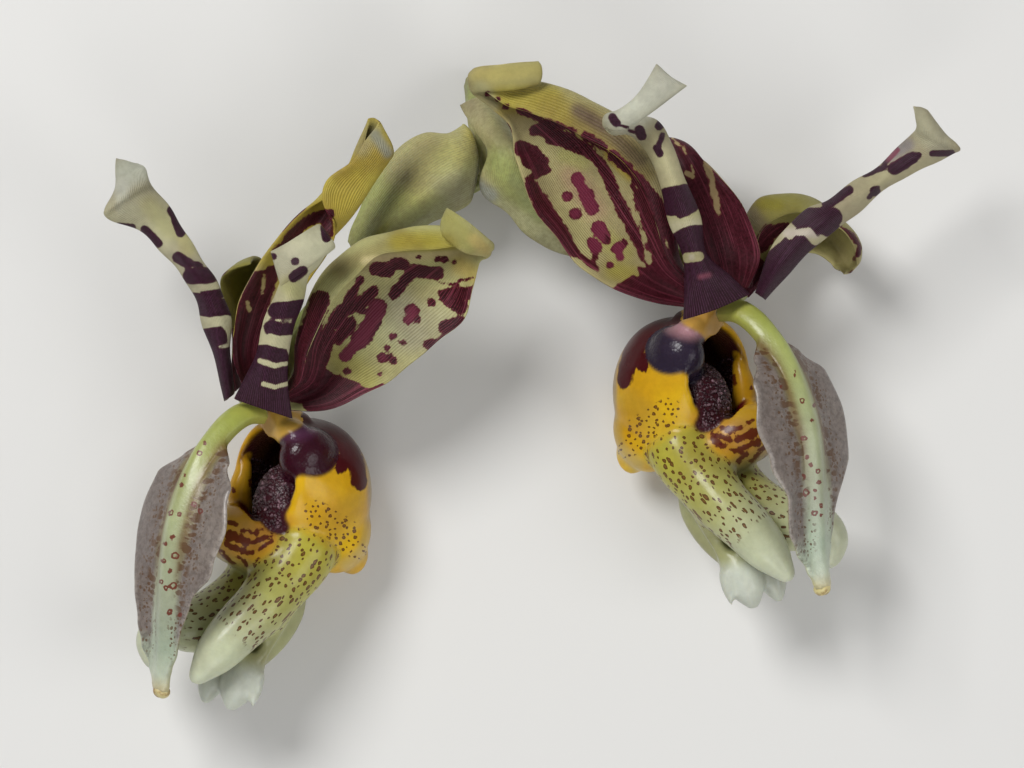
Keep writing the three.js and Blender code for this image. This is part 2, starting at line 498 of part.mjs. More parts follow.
// A ball stretched to three radii.
function ball({ at, radius }, sides = 10) {
  return new THREE.SphereGeometry(1, sides, Math.ceil(sides * 0.7)).scale(...radius).translate(...at);
}

function solid(geometry) {
  const bare = geometry.clone();
  bare.deleteAttribute("normal");
  bare.deleteAttribute("uv");
  const merged = mergeVertices(bare, 1e-4);
  const vertProperties = new Float32Array(merged.attributes.position.array);
  const triVerts = new Uint32Array(merged.index.array);
  return new wasm.Manifold(new wasm.Mesh({ numProp: 3, vertProperties, triVerts }));
}

function geometryOf(manifold) {
  const { vertProperties, triVerts } = manifold.getMesh();
  const geometry = new THREE.BufferGeometry();
  geometry.setAttribute("position", new THREE.BufferAttribute(vertProperties, 3));
  geometry.setIndex(new THREE.BufferAttribute(triVerts, 1));
  return geometry;
}

const join = (parts) => parts.map(solid).reduce((sum, part) => sum.add(part));

// Cuts away what would reach below the surface that the inflorescence lies on, so it rests on small flat spots.
function cutAtFloor(geometry, placed = new THREE.Matrix4()) {
  const reach = 400;
  const depth = 40;
  const below = new THREE.BoxGeometry(reach, reach, depth).translate(0, 0, -depth / 2);
  return geometryOf(solid(geometry).subtract(solid(below.applyMatrix4(placed.clone().invert()))));
}

function sacGeometry(rings, sides = 14) {
  return ringStack(rings.map(([forward, height, tall, wide, lean]) =>
    Array.from({ length: sides }, (_, j) => {
      const angle = (2 * Math.PI * j) / sides;
      const rise = tall * Math.cos(angle);
      return new THREE.Vector3(forward + lean * rise, height + rise, wide * Math.sin(angle));
    }),
  ));
}

// The lip: the hollow sac with its two heels and the two dark folded lobes of its rim, the claw that joins it to the
// column's foot, the bridge below the sac, the pair of horns and the front lobe.
function lipGeometry() {
  const mirrored = (piece) => ({
    ...piece,
    spine: piece.spine?.map(([x, y, z]) => [x, y, -z]),
    at: piece.at && [piece.at[0], piece.at[1], -piece.at[2]],
  });
  const body = join([
    sacGeometry(sacOutside),
    ball(bridge),
    bladeGeometry({ ...frontLobe, surface: spineSurface(frontLobe) }),
    ...horns.map(tubeGeometry),
    ...[heel, mirrored(heel)].map((piece) => ball(piece)),
    ...teeth.map((tooth) => ball(tooth, 8)),
  ]);
  const rim = join([tubeGeometry(claw), ball(bean), ball(mirrored(bean))]);
  return geometryOf(body.subtract(solid(sacGeometry(sacInside))).add(rim));
}

function mesh(name, geometry, color, roughness) {
  const made = new THREE.Mesh(geometry, new THREE.MeshStandardMaterial({ color, roughness, metalness: 0 }));
  made.name = name;
  return made;
}

// The directions inside a flower: ahead towards its column, up, and to the side.
function innerFrame({ forward, down }) {
  const up = new THREE.Vector3(...down).normalize().negate();
  const ahead = new THREE.Vector3(...forward);
  ahead.addScaledVector(up, -ahead.dot(up)).normalize();
  return new THREE.Matrix4().makeBasis(ahead, up, ahead.clone().cross(up));
}

function flowerGroup(side) {
  const whole = new THREE.Group();
  whole.position.set(...flowers[side].base);
  for (const [name, { steps, rows }] of Object.entries(segments[side])) {
    const blade = bladeGeometry({ surface: rowSurface(rows), steps, thickness: segmentThickness });
    whole.add(mesh(`${side}_${name}`, blade, name.includes("petal") ? "#8a5560" : "#a8925a", 0.5));
  }
  const inner = new THREE.Group();
  inner.setRotationFromMatrix(innerFrame(flowers[side]));
  whole.add(inner);
  whole.updateMatrixWorld(true);
  inner.add(mesh(`${side}_column`, bladeGeometry({ ...column, surface: spineSurface(column) }), "#bcc294", 0.4));
  inner.add(mesh(`${side}_anther_cap`, ball(anther), "#d9c894", 0.45));
  inner.add(mesh(`${side}_lip`, cutAtFloor(lipGeometry(), inner.matrixWorld), "#c9b94e", 0.3));
  return whole;
}

// An ovary from the rachis to its receptacle, clear of the rachis and of every base that the receptacle carries.
function ovaryGeometry(side) {
  const { forward } = flowers[side];
  const [x, y, z] = receptacle.at;
  const place = new THREE.Matrix4().makeTranslation(...flowers[side].base);
  const innerPlace = place.clone().multiply(innerFrame(flowers[side]));
  const foot = {
    ...column,
    spine: [[-0.5, -3.3, 0], ...column.spine.slice(1)],
    width: column.width.map(([u, width]) => [u, width + clearance]),
    thickness: column.thickness + 2 * clearance,
    ridgeWidth: column.ridgeWidth + clearance,
  };
  const room = [
    ...Object.values(segments[side]).map((segment) => seatOfBlade(segment).applyMatrix4(place)),
    bladeGeometry({ ...foot, surface: spineSurface(foot) }).applyMatrix4(innerPlace),
    sacGeometry(sacOutside.map(([ahead, height, tall, ...rest]) =>
      [ahead + clearance, height, tall + clearance, ...rest]))
      .applyMatrix4(innerPlace),
    tubeGeometry(grownTube({ ...claw, spine: [[-2.8, -4.1, 0], ...claw.spine.slice(1)] })).applyMatrix4(innerPlace),
    tubeGeometry(grownTube(rachis)),
  ];
  const top = ball({ ...receptacle, at: [x * Math.sign(forward[0]), y, z] }).applyMatrix4(place);
  const whole = join([tubeGeometry(ovaryTube(side)), top]);
  return geometryOf(room.reduce((rest, cutter) => rest.subtract(solid(cutter)), whole));
}

const ovaryTube = (side) => ({ ...ovaries[side], sides: 8, rings: 11, roundEnd: 0.08 });

// A bract, clear of the rachis and of the ovary that it wraps.
function bractGeometry(side) {
  const { steps, rows } = bracts[side];
  const blade = solid(bladeGeometry({ surface: rowSurface(rows), steps, thickness: bractThickness }));
  return geometryOf(blade.subtract(join([tubeGeometry(grownTube(rachis)), tubeGeometry(grownTube(ovaryTube(side)))])));
}

const inflorescence = new THREE.Group();
inflorescence.position.set(...originShift);
for (const side of ["left", "right"]) {
  inflorescence.add(flowerGroup(side));
  inflorescence.add(mesh(`${side}_bract`, bractGeometry(side), "#9fa468", 0.6));
  inflorescence.add(mesh(`${side}_ovary`, ovaryGeometry(side), "#9aa45c", 0.5));
}
inflorescence.add(mesh("rachis", cutAtFloor(tubeGeometry(rachis)), "#8f9a5a", 0.6));

export default inflorescence;
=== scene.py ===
# Cut inflorescence of a stanhopea orchid hybrid, lying on its back: two flowers with their
# bracts and ovaries. Lengths in the dictionaries are millimetres. A segment's rows of points
# count from its flower's base; patches, spots and rings are placed as seen from straight above.
import math
import bpy
import numpy as np
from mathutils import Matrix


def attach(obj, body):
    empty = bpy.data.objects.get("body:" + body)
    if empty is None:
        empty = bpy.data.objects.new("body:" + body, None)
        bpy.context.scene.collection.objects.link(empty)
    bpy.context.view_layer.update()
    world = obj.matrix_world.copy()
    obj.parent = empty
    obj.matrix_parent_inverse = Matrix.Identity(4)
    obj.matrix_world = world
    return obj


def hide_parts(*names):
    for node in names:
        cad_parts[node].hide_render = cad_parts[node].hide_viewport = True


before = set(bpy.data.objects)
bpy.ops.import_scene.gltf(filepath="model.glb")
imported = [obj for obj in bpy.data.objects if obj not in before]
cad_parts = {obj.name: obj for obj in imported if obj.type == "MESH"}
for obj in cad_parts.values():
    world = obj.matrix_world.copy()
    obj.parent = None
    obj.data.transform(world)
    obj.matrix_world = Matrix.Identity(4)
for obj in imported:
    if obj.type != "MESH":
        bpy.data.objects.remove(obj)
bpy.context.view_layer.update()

mm = 0.001
bodyName = "root"
bodyShift = np.array([-4.05, 1.3, 0.0])      # from the flowers' own frame to the part's
lookHeight = 1161.8                          # of the camera over the floor
lookScale = 1137.8                           # distance at which one mm in the picture is one mm
restHeight = 0.02                            # the lowest that a piece comes over the floor
spineSteps = 60                              # places along a spine at which reaches are measured
noMark = -3.0                                # mm inside a mark, for a place that is in none
patchCrispness = 4.5                         # of the edges of soft colour patches


def linear(shade):      # red, green and blue as light adds up
    values = [int(shade[k:k + 2], 16) / 255 for k in (1, 3, 5)]
    return np.array([c / 12.92 if c <= 0.04045 else ((c + 0.055) / 1.055) ** 2.4 for c in values])


def rise(value, start, span):      # a straight ramp from 0 to 1
    return np.clip((value - start) / span, 0, 1)


def step(value, low, high):      # a soft ramp from 0 to 1
    t = rise(value, low, high - low)
    return t * t * (3 - 2 * t)


def bell(value, middle, width):      # 1 at the middle, falling off to both sides
    return np.exp(-((value - middle) / width) ** 2)


def smoothWeights(count, places):      # shares of evenly spaced points in a smooth curve
    x = np.clip(places, 0, 1) * (count - 1)
    i = np.minimum(x.astype(int), count - 2)
    t = x - i
    weights = np.zeros((len(places), count))
    shares = (-t / 2 + t**2 - t**3 / 2, 1 - 2.5 * t**2 + 1.5 * t**3,
              t / 2 + 2 * t**2 - 1.5 * t**3, (t**3 - t**2) / 2)
    for k, share in enumerate(shares):
        np.add.at(weights, (np.arange(len(places)), np.clip(i - 1 + k, 0, count - 1)), share)
    return weights


def rowGrid(rows, u, v):      # a smooth surface through rows of points
    rows = np.array(rows, float)
    down, across = smoothWeights(rows.shape[0], u), smoothWeights(rows.shape[1], v)
    return np.einsum("ui,vj,ijk->uvk", down, across, rows)


def keyed(keys, places):      # evenly spaced values, or pairs of a place and a value
    if np.ndim(keys[0]) == 0:
        return smoothWeights(len(keys), places) @ np.array(keys, float)
    spots, values = np.array(keys, float).T
    i = np.clip(np.searchsorted(spots, places), 1, len(spots) - 1)
    t = rise(places, spots[i - 1], spots[i] - spots[i - 1])
    return values[i - 1] + (values[i] - values[i - 1]) * t * t * (3 - 2 * t)


def spineFrames(spine, facing, count):      # even points, their tangents, facings and sides
    p = np.array(spine, float)
    p = np.vstack([2 * p[0] - p[1], p, 2 * p[-1] - p[-2]])
    points = []
    for i in range(len(p) - 3):
        a, b, c, d = p[i:i + 4]
        d0, d1, d2 = (max(np.linalg.norm(q - r) ** 0.5, 1e-4) for q, r in ((b, a), (c, b), (d, c)))
        t1 = ((b - a) / d0 - (c - a) / (d0 + d1) + (c - b) / d1) * d1
        t2 = ((c - b) / d1 - (d - b) / (d1 + d2) + (d - c) / d2) * d1
        t = np.linspace(0, 1, 50, endpoint=(i == len(p) - 4))[:, None]
        points.append(b + t1 * t + (3 * (c - b) - 2 * t1 - t2) * t**2
                      + (2 * (b - c) + t1 + t2) * t**3)
    points = np.vstack(points)
    reach = runAlong(points)
    even = np.linspace(0, reach[-1], count)
    points = np.stack([np.interp(even, reach, points[:, k]) for k in range(3)], 1)
    tangents = np.gradient(points, axis=0)
    tangents /= np.linalg.norm(tangents, axis=1)[:, None]
    facings = np.zeros_like(points)
    normal = np.array(facing, float)
    for i, tangent in enumerate(tangents):
        normal = normal - tangent * (normal @ tangent)
        normal /= np.linalg.norm(normal)
        facings[i] = normal
    return points, tangents, facings, np.cross(tangents, facings)


def runAlong(points):      # distance from the first point, along a line of points or each column
    lengths = np.linalg.norm(np.diff(points, axis=0), axis=-1)
    return np.concatenate([np.zeros_like(lengths[:1]), np.cumsum(lengths, 0)])


def ripple(points, size, seed):      # a smooth wandering value, about -1 to 1, over points in mm
    chance = np.random.default_rng(seed)
    total = np.zeros(points.shape[:-1])
    for _ in range(9):
        way = chance.normal(size=3)
        way *= 2 * math.pi / (size * chance.uniform(0.7, 1.6) * np.linalg.norm(way))
        total += np.sin(points @ way + chance.uniform(0, 6.3))
    return total / 3.4


def seenFromAbove(points):      # where the camera sees the points, in mm of the picture
    return points[..., :2] * lookScale / (lookHeight - points[..., 2:3])


# a stroke is a dot or a chain of places, x and y each, and then a radius
def nearness(flat, strokes):      # how far inside the nearest stroke a place is; below 0 outside
    best = np.full(flat.shape[:-1], -9.0)
    for *places, radius in strokes:
        ends = np.array(places, float).reshape(-1, 2)
        for start, end in zip(ends, ends[1:] if len(ends) > 1 else ends):
            run = end - start
            t = np.clip((flat - start) @ run / max(run @ run, 1e-9), 0, 1)
            gap = np.linalg.norm(flat - start - t[..., None] * run, axis=-1)
            best = np.maximum(best, radius - gap)
    return best


def layOver(colour, share, shade):
    colour[..., :3] += (linear(shade) - colour[..., :3]) * share[..., None]


def shaded(flat, ground, patches):      # soft-edged patches of colour over a ground
    colour = np.ones(flat.shape[:-1] + (4,))
    colour[..., :3] = linear(ground)
    for *stroke, shade in patches:
        inside = nearness(flat, [stroke]) * patchCrispness / stroke[-1]
        layOver(colour, 1 / (1 + np.exp(-np.clip(inside, -20, 20))), shade)
    return colour


def tintsAlong(tints, places):      # colours that change along a part, from places and shades
    spots, shades = [spot for spot, _ in tints], np.array([linear(shade) for _, shade in tints])
    return np.stack([np.interp(places, spots, shades[:, k]) for k in range(3)], -1)


def linked(name, data):      # a new object in the scene, at the origin
    made = bpy.data.objects.new(name, data)
    bpy.context.scene.collection.objects.link(made)
    return made


fieldKinds = {1: ("FLOAT", "value"), 3: ("FLOAT_VECTOR", "vector"), 4: ("FLOAT_COLOR", "color")}


def makePiece(name, points, faces, uv=None, fields=None, ready=True):
    mesh = bpy.data.meshes.new(name)
    place = (points + bodyShift) * mm if ready else points
    mesh.from_pydata([tuple(p) for p in place.tolist()], [], [tuple(f) for f in faces])
    for key, values in (fields or {}).items():
        kind, slot = fieldKinds[values.shape[1] if values.ndim == 2 else 1]
        field = mesh.attributes.new(key, kind, "POINT")
        field.data.foreach_set(slot, values.astype(np.float32).ravel())
    if uv is not None:
        corners = np.zeros(len(mesh.loops), np.int32)
        mesh.loops.foreach_get("vertex_index", corners)
        layer = mesh.uv_layers.new(name="UVMap")
        layer.data.foreach_set("uv", uv[corners].astype(np.float32).ravel())
    mesh.polygons.foreach_set("use_smooth", np.ones(len(mesh.polygons), bool))
    mesh.update()
    return linked(name, mesh)


def finishPiece(piece, material, node):
    piece.data.materials.clear()
    piece.data.materials.append(material)
    if node:
        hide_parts(node)
    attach(piece, bodyName)
    print("made", piece.name, len(piece.data.polygons), "faces")


def facingOut(points, faces):      # turns all the faces over if they point inwards
    corner = points[np.array([face[:3] for face in faces])]
    volume = np.einsum("ij,ij->", corner[:, 0], np.cross(corner[:, 1], corner[:, 2]))
    return faces if volume > 0 else [face[::-1] for face in faces]


def gridFaces(rows, columns, start=0, flip=False):
    i, j = np.meshgrid(np.arange(rows - 1), np.arange(columns - 1), indexing="ij")
    a = (start + i * columns + j).ravel()
    quad = np.stack([a, a + 1, a + columns + 1, a + columns], 1)
    return quad[:, ::-1] if flip else quad


def normalsOf(middle):
    normal = np.cross(np.gradient(middle, axis=1), np.gradient(middle, axis=0))
    return normal / np.maximum(np.linalg.norm(normal, axis=2), 1e-9)[..., None]


def bladeSheets(middle, half, ridge=0.0):      # a closed blade, thicker below by the ridge
    normal = normalsOf(middle)
    top = middle + normal * half[..., None]
    bottom = middle - normal * (half + ridge)[..., None]
    count, across = middle.shape[:2]
    low = count * across
    a, b = np.arange(count - 1) * across, np.arange(across - 1)
    faces = np.vstack([
        gridFaces(count, across), gridFaces(count, across, low, True),
        np.stack([a, a + across, low + a + across, low + a], 1),
        np.stack([a + across, a, low + a, low + a + across], 1) + (across - 1),
        np.stack([b + 1, b, low + b, low + b + 1], 1),
        np.stack([b, b + 1, low + b + 1, low + b], 1) + (count - 1) * across])
    points = np.vstack([top.reshape(-1, 3), bottom.reshape(-1, 3)])
    outward = np.vstack([normal.reshape(-1, 3), -normal.reshape(-1, 3)])
    return points, facingOut(points, faces.tolist()), outward


def sheetPlaces(u, v):      # places of a blade's points along and across it, on both sheets
    return np.tile(np.stack(np.meshgrid(u, v, indexing="ij"), -1).reshape(-1, 2), (2, 1))


def marginTaper(middle, width, base=False):      # thins a blade to a round margin
    left = runAlong(middle.swapaxes(0, 1)).T
    down = runAlong(middle)
    edge = np.minimum(np.minimum(left, left[:, -1:] - left), down[-1:] - down)
    if base:
        edge = np.minimum(edge, down)
    return np.sqrt(np.clip(1 - (1 - np.clip(edge / width, 0, 1)) ** 2, 0.03, 1))


def spreadPlaces(count):      # a little closer together at both ends
    t = np.linspace(0, 1, count)
    return 0.6 * t + 0.2 * (1 - np.cos(math.pi * t))


def rowBlade(rows, detail, seed, base=(0, 0, 0)):      # a thin blade with a wavy margin
    u, v = spreadPlaces(detail["along"]), spreadPlaces(detail["across"])
    middle = rowGrid(rows, u, v) + np.array(base)
    free = rise(u, 0, detail["stiff"])[:, None] if detail["stiff"] else 1.0
    edge = detail["calm"] + np.abs(2 * v - 1)[None, :] ** detail["margins"]
    wave = ripple(middle, detail["waveSize"], seed) * detail["wave"] * free * edge
    middle = middle + normalsOf(middle) * wave[..., None]
    half = detail["halfThickness"] * marginTaper(middle, detail["margin"], detail["thinBase"])
    return *bladeSheets(middle, half), sheetPlaces(u, v)


def socketOf(tree, source, target):
    if isinstance(source, bpy.types.NodeSocket):
        tree.links.new(source, target)
    else:
        target.default_value = source


def addNode(tree, kind, inputs=None, **settings):
    made = tree.nodes.new(kind)
    for key, value in settings.items():
        setattr(made, key, value)
    for key, value in (inputs or {}).items():
        socketOf(tree, value, made.inputs[key])
    return made


def calc(tree, operation, *values):
    made = addNode(tree, "ShaderNodeMath", dict(enumerate(values)), operation=operation)
    return made.outputs[0]


def ramp(tree, value, low, high, start=0.0, end=1.0):
    places = {"Value": value, "From Min": low, "From Max": high, "To Min": start, "To Max": end}
    made = addNode(tree, "ShaderNodeMapRange", places, interpolation_type="SMOOTHSTEP")
    return made.outputs["Result"]


def mixed(tree, share, first, second):      # of two colours, each a hex shade or a socket
    first, second = ((*linear(one), 1) if isinstance(one, str) else one for one in (first, second))
    made = addNode(tree, "ShaderNodeMix", data_type="RGBA")
    for key, value in (("Factor", share), (6, first), (7, second)):
        socketOf(tree, value, made.inputs[key])
    return made.outputs[2]


def noiseOf(tree, vector, scale, detail=3.0, roughness=0.5):
    places = {"Vector": vector, "Scale": scale, "Detail": detail, "Roughness": roughness}
    return addNode(tree, "ShaderNodeTexNoise", places).outputs["Fac"]


def attributeOf(tree, key, output="Fac"):
    return addNode(tree, "ShaderNodeAttribute", attribute_name=key).outputs[output]


number, colourKind, vectorKind = "NodeSocketFloat", "NodeSocketColor", "NodeSocketVector"


def newGroup(name, inputs, outputs, kind="ShaderNodeTree"):
    tree = bpy.data.node_groups.new(name, kind)
    for key, (socketKind, value) in inputs.items():
        made = tree.interface.new_socket(name=key, in_out="INPUT", socket_type=socketKind)
        if value is not None:
            made.default_value = value
    for key, socketKind in outputs.items():
        tree.interface.new_socket(name=key, in_out="OUTPUT", socket_type=socketKind)
    got, out = tree.nodes.new("NodeGroupInput"), tree.nodes.new("NodeGroupOutput")
    return tree, got.outputs, out.inputs


def useGroup(tree, group, inputs):
    made = addNode(tree, "ShaderNodeGroup", node_tree=group)
    for key, value in inputs.items():
        socketOf(tree, value, made.inputs[key])
    return made.outputs


def frayedMarkGroup():      # a blotch's ragged edge, from how far inside its outline a place is
    tree, got, out = newGroup("frayedMark", {
        "Distance": (number, 0.0), "Vector": (vectorKind, None), "Fray": (number, 0.6),
        "Edge": (number, 0.12)}, {"Mask": number, "Rim": number})
    fine = noiseOf(tree, got["Vector"], 900.0, 4.0, 0.6)
    wide = noiseOf(tree, got["Vector"], 260.0, 2.0)
    fine, wide = calc(tree, "SUBTRACT", fine, 0.5), calc(tree, "SUBTRACT", wide, 0.5)
    wander = calc(tree, "ADD", fine, wide)
    place = calc(tree, "MULTIPLY_ADD", wander, got["Fray"], got["Distance"])
    mask = calc(tree, "DIVIDE", place, got["Edge"])
    tree.links.new(ramp(tree, mask, -1.0, 1.0), out["Mask"])
    tree.links.new(ramp(tree, place, 0.5, 0.0), out["Rim"])
    return tree


def ribsGroup():      # fine parallel ribs along a blade, wandering a little
    tree, got, out = newGroup("fineRibs", {
        "UV": (vectorKind, None), "Vector": (vectorKind, None), "Count": (number, 60.0),
        "Wander": (number, 0.8)}, {"Height": number, "Line": number})
    across = addNode(tree, "ShaderNodeSeparateXYZ", {"Vector": got["UV"]}).outputs[1]
    sway = calc(tree, "MULTIPLY", noiseOf(tree, got["Vector"], 120.0, 2.0), got["Wander"])
    phase = calc(tree, "MULTIPLY_ADD", across, got["Count"], sway)
    wave = calc(tree, "SINE", calc(tree, "MULTIPLY", phase, 2 * math.pi))
    beads = noiseOf(tree, got["Vector"], 1500.0, 2.0)
    height = calc(tree, "MULTIPLY_ADD", wave, 0.5, 0.5)
    tree.links.new(calc(tree, "MULTIPLY_ADD", beads, 0.35, height), out["Height"])
    line = calc(tree, "MULTIPLY_ADD", calc(tree, "SUBTRACT", beads, 0.5), 1.4, wave)
    tree.links.new(ramp(tree, line, 0.55, 1.0), out["Line"])
    return tree


def softTintGroup():      # living tissue is never one even colour
    tree, got, out = newGroup("softTint", {
        "Colour": (colourKind, None), "Vector": (vectorKind, None), "Amount": (number, 0.3)},
        {"Colour": colourKind})
    wide = ramp(tree, noiseOf(tree, got["Vector"], 70.0, 3.0), 0.3, 0.7, -1.0, 1.0)
    fine = ramp(tree, noiseOf(tree, got["Vector"], 600.0, 4.0, 0.65), 0.3, 0.7, -1.0, 1.0)
    both = calc(tree, "MULTIPLY_ADD", fine, 0.4, wide)
    bright = calc(tree, "MULTIPLY_ADD", calc(tree, "MULTIPLY", both, got["Amount"]), 0.5, 1.0)
    hue = calc(tree, "MULTIPLY_ADD", calc(tree, "MULTIPLY", wide, got["Amount"]), 0.03, 0.5)
    made = addNode(tree, "ShaderNodeHueSaturation", {
        "Hue": hue, "Value": bright, "Color": got["Colour"]})
    tree.links.new(made.outputs[0], out["Colour"])
    return tree


def specksGroup(name, dimensions):      # small spots that gather in places
    tree, got, out = newGroup(name, {
        "Vector": (vectorKind, None), "Scale": (number, 600.0), "Size": (number, 0.25),
        "Cover": (number, 0.5)}, {"Mask": number, "Core": number})
    fine = addNode(tree, "ShaderNodeTexNoise", {
        "Vector": got["Vector"], "Scale": 1400.0, "Detail": 2.0}).outputs["Color"]
    small = addNode(tree, "ShaderNodeVectorMath", {0: fine, "Scale": 0.0006}, operation="SCALE")
    bent = addNode(tree, "ShaderNodeVectorMath", {0: got["Vector"], 1: small.outputs[0]},
                   operation="ADD")
    cells = addNode(tree, "ShaderNodeTexVoronoi", {
        "Vector": bent.outputs[0], "Scale": got["Scale"]},
        feature="F1", voronoi_dimensions=dimensions).outputs
    chance = addNode(tree, "ShaderNodeSeparateColor", {"Color": cells["Color"]}).outputs
    size = calc(tree, "MULTIPLY", got["Size"], calc(tree, "MULTIPLY_ADD", chance[1], 0.8, 0.5))
    near = calc(tree, "SUBTRACT", size, cells["Distance"])
    kept = calc(tree, "LESS_THAN", chance[0], got["Cover"])
    tree.links.new(ramp(tree, near, 0.12, 0.2), out["Core"])
    tree.links.new(calc(tree, "MULTIPLY", ramp(tree, near, -0.03, 0.03), kept), out["Mask"])
    return tree


frayedMark, fineRibs, softTint = frayedMarkGroup(), ribsGroup(), softTintGroup()
specks, flatSpecks = specksGroup("specks", "3D"), specksGroup("flatSpecks", "2D")


def startMaterial(name, settings=None):
    material = bpy.data.materials.new(name)
    material.use_nodes = True
    tree = material.node_tree
    tree.nodes.clear()
    shader = addNode(tree, "ShaderNodeBsdfPrincipled", settings)
    addNode(tree, "ShaderNodeOutputMaterial", {"Surface": shader.outputs[0]})
    return material, tree, shader, addNode(tree, "ShaderNodeTexCoord").outputs["Object"]


def finishMaterial(tree, shader, colour, roughness, height=None, strength=0.4, depth=0.0002):
    socketOf(tree, colour, shader.inputs["Base Color"])
    socketOf(tree, roughness, shader.inputs["Roughness"])
    if height:
        bump = addNode(tree, "ShaderNodeBump", {
            "Height": height, "Strength": strength, "Distance": depth})
        tree.links.new(bump.outputs[0], shader.inputs["Normal"])


def tintOf(tree, place, amount):      # the piece's own painted colours, unevenly
    return useGroup(tree, softTint, {
        "Colour": attributeOf(tree, "tint", "Color"), "Vector": place, "Amount": amount})["Colour"]


def uvOf(tree):
    return addNode(tree, "ShaderNodeUVMap", uv_map="UVMap").outputs[0]


flowerBase = {"left": (-50, -3.6, 25.5), "right": (42, 16.8, 25.5)}

fleshShader = {
    "Subsurface Weight": 0.08, "Subsurface Radius": (0.8, 0.6, 0.4), "Subsurface Scale": 0.0012,
    "Specular IOR Level": 0.18, "Coat Weight": 0.05, "Coat Roughness": 0.35,
}
sepalFlesh = {
    "ribs": 74, "ribShade": "#7f7b40", "ribShare": 0.2, "roughness": 0.44, "bump": 0.5,
    "mark": "#2e050b", "markRib": "#7a3042", "markRim": "#5a1420", "blush": "#742a40",
    "streak": "#843c4c", "fringe": 0.1, "fray": 1.15, "edge": 0.14,
}
petalFlesh = {
    "ribs": 30, "ribShade": "#9a9270", "ribShare": 0.2, "roughness": 0.46, "bump": 0.5,
    "mark": "#260814", "markRib": "#58304a", "markRim": "#401022", "blush": "#8c4c5c",
    "streak": "#43203a", "fringe": 0.12, "fray": 0.4, "edge": 0.12,
}


def makeFlesh(name, given):
    material, tree, shader, place = startMaterial(name, fleshShader)
    uv = uvOf(tree)
    ribs = useGroup(tree, fineRibs, {"UV": uv, "Vector": place, "Count": given["ribs"]})
    ground = mixed(tree, calc(tree, "MULTIPLY", ribs["Line"], given["ribShare"]),
                   tintOf(tree, place, 0.35), given["ribShade"])
    fringe = calc(tree, "SUBTRACT", ribs["Height"], 0.6)
    reach = calc(tree, "MULTIPLY_ADD", fringe, given["fringe"], attributeOf(tree, "mark"))
    mark = useGroup(tree, frayedMark, {
        "Distance": reach, "Vector": place, "Fray": given["fray"], "Edge": given["edge"]})
    dark = mixed(tree, calc(tree, "MULTIPLY", ribs["Line"], 0.7), given["mark"], given["markRib"])
    dark = mixed(tree, calc(tree, "MULTIPLY", mark["Rim"], 0.6), dark, given["markRim"])
    lengthwise = addNode(tree, "ShaderNodeMapping", {"Vector": uv, "Scale": (3.0, 46.0, 1.0)})
    streaks = ramp(tree, noiseOf(tree, lengthwise.outputs[0], 1.0, 3.0, 0.6), 0.5, 0.72)
    dark = mixed(tree, calc(tree, "MULTIPLY", streaks, 0.75), dark, given["streak"])
    blush = ramp(tree, attributeOf(tree, "blush"), -0.6, 0.8, 0.0, 0.75)
    dark = mixed(tree, blush, dark, given["blush"])
    grain = noiseOf(tree, place, 1900.0, 3.0, 0.6)
    rough = calc(tree, "MULTIPLY_ADD", grain, 0.2, given["roughness"] - 0.1)
    finishMaterial(tree, shader, mixed(tree, mark["Mask"], ground, dark),
                   calc(tree, "MULTIPLY_ADD", mark["Mask"], -0.06, rough),
                   calc(tree, "MULTIPLY_ADD", grain, 1.3, ribs["Height"]), given["bump"], 0.00022)
    return material


fleshMaterials = {"sepal": makeFlesh("sepalFlesh", sepalFlesh),
                  "petal": makeFlesh("petalFlesh", petalFlesh)}

# the wave starts past the stiff base and grows from the calm middle towards the margins
segmentBlade = {
    "along": 130, "across": 70, "halfThickness": 0.5, "margin": 1.3, "thinBase": False,
    "wave": 0.42, "waveSize": 11.0, "stiff": 0.25, "calm": 0.5, "margins": 3,
}

# no photograph shows the underside: its blotches wander by chance, and its base is dark
underside = {"blotchSize": 8.0, "spread": 1.6, "bare": 1.0, "darkBelow": 0.16}
baseCrispness = {"above": 40, "below": 30}      # of the dark base's edge on both sides


def makeSegment(name, given):
    side, kind = name.split("_")[0], name.split("_")[-1]
    points, faces, outward, uv = rowBlade(given["rows"], segmentBlade, given["seed"],
                                          flowerBase[side])
    flat, along = seenFromAbove(points), uv[:, 0]
    upward = outward[:, 2] > -0.1      # a little past the rim
    hidden = ripple(points, underside["blotchSize"], given["seed"] + 5) * underside["spread"]
    hidden = hidden - given.get("bare", underside["bare"])
    hidden = np.maximum(hidden, (underside["darkBelow"] - along) * baseCrispness["below"])
    mark = np.maximum(nearness(flat, given.get("spots", [])), given.get("ground", noMark))
    if "darkBelow" in given:
        mark = np.maximum(mark, (given["darkBelow"] - along) * baseCrispness["above"])
    if "pale" in given:
        mark = np.minimum(mark, -nearness(flat, given["pale"]))
    fields = {
        "mark": np.where(upward, mark, hidden),
        "blush": np.where(upward, nearness(flat, given.get("blush", [])), noMark),
        "tint": shaded(flat, given["tint"], given.get("patches", [])),
    }
    finishPiece(makePiece(name, points, faces, uv, fields), fleshMaterials[kind], name)


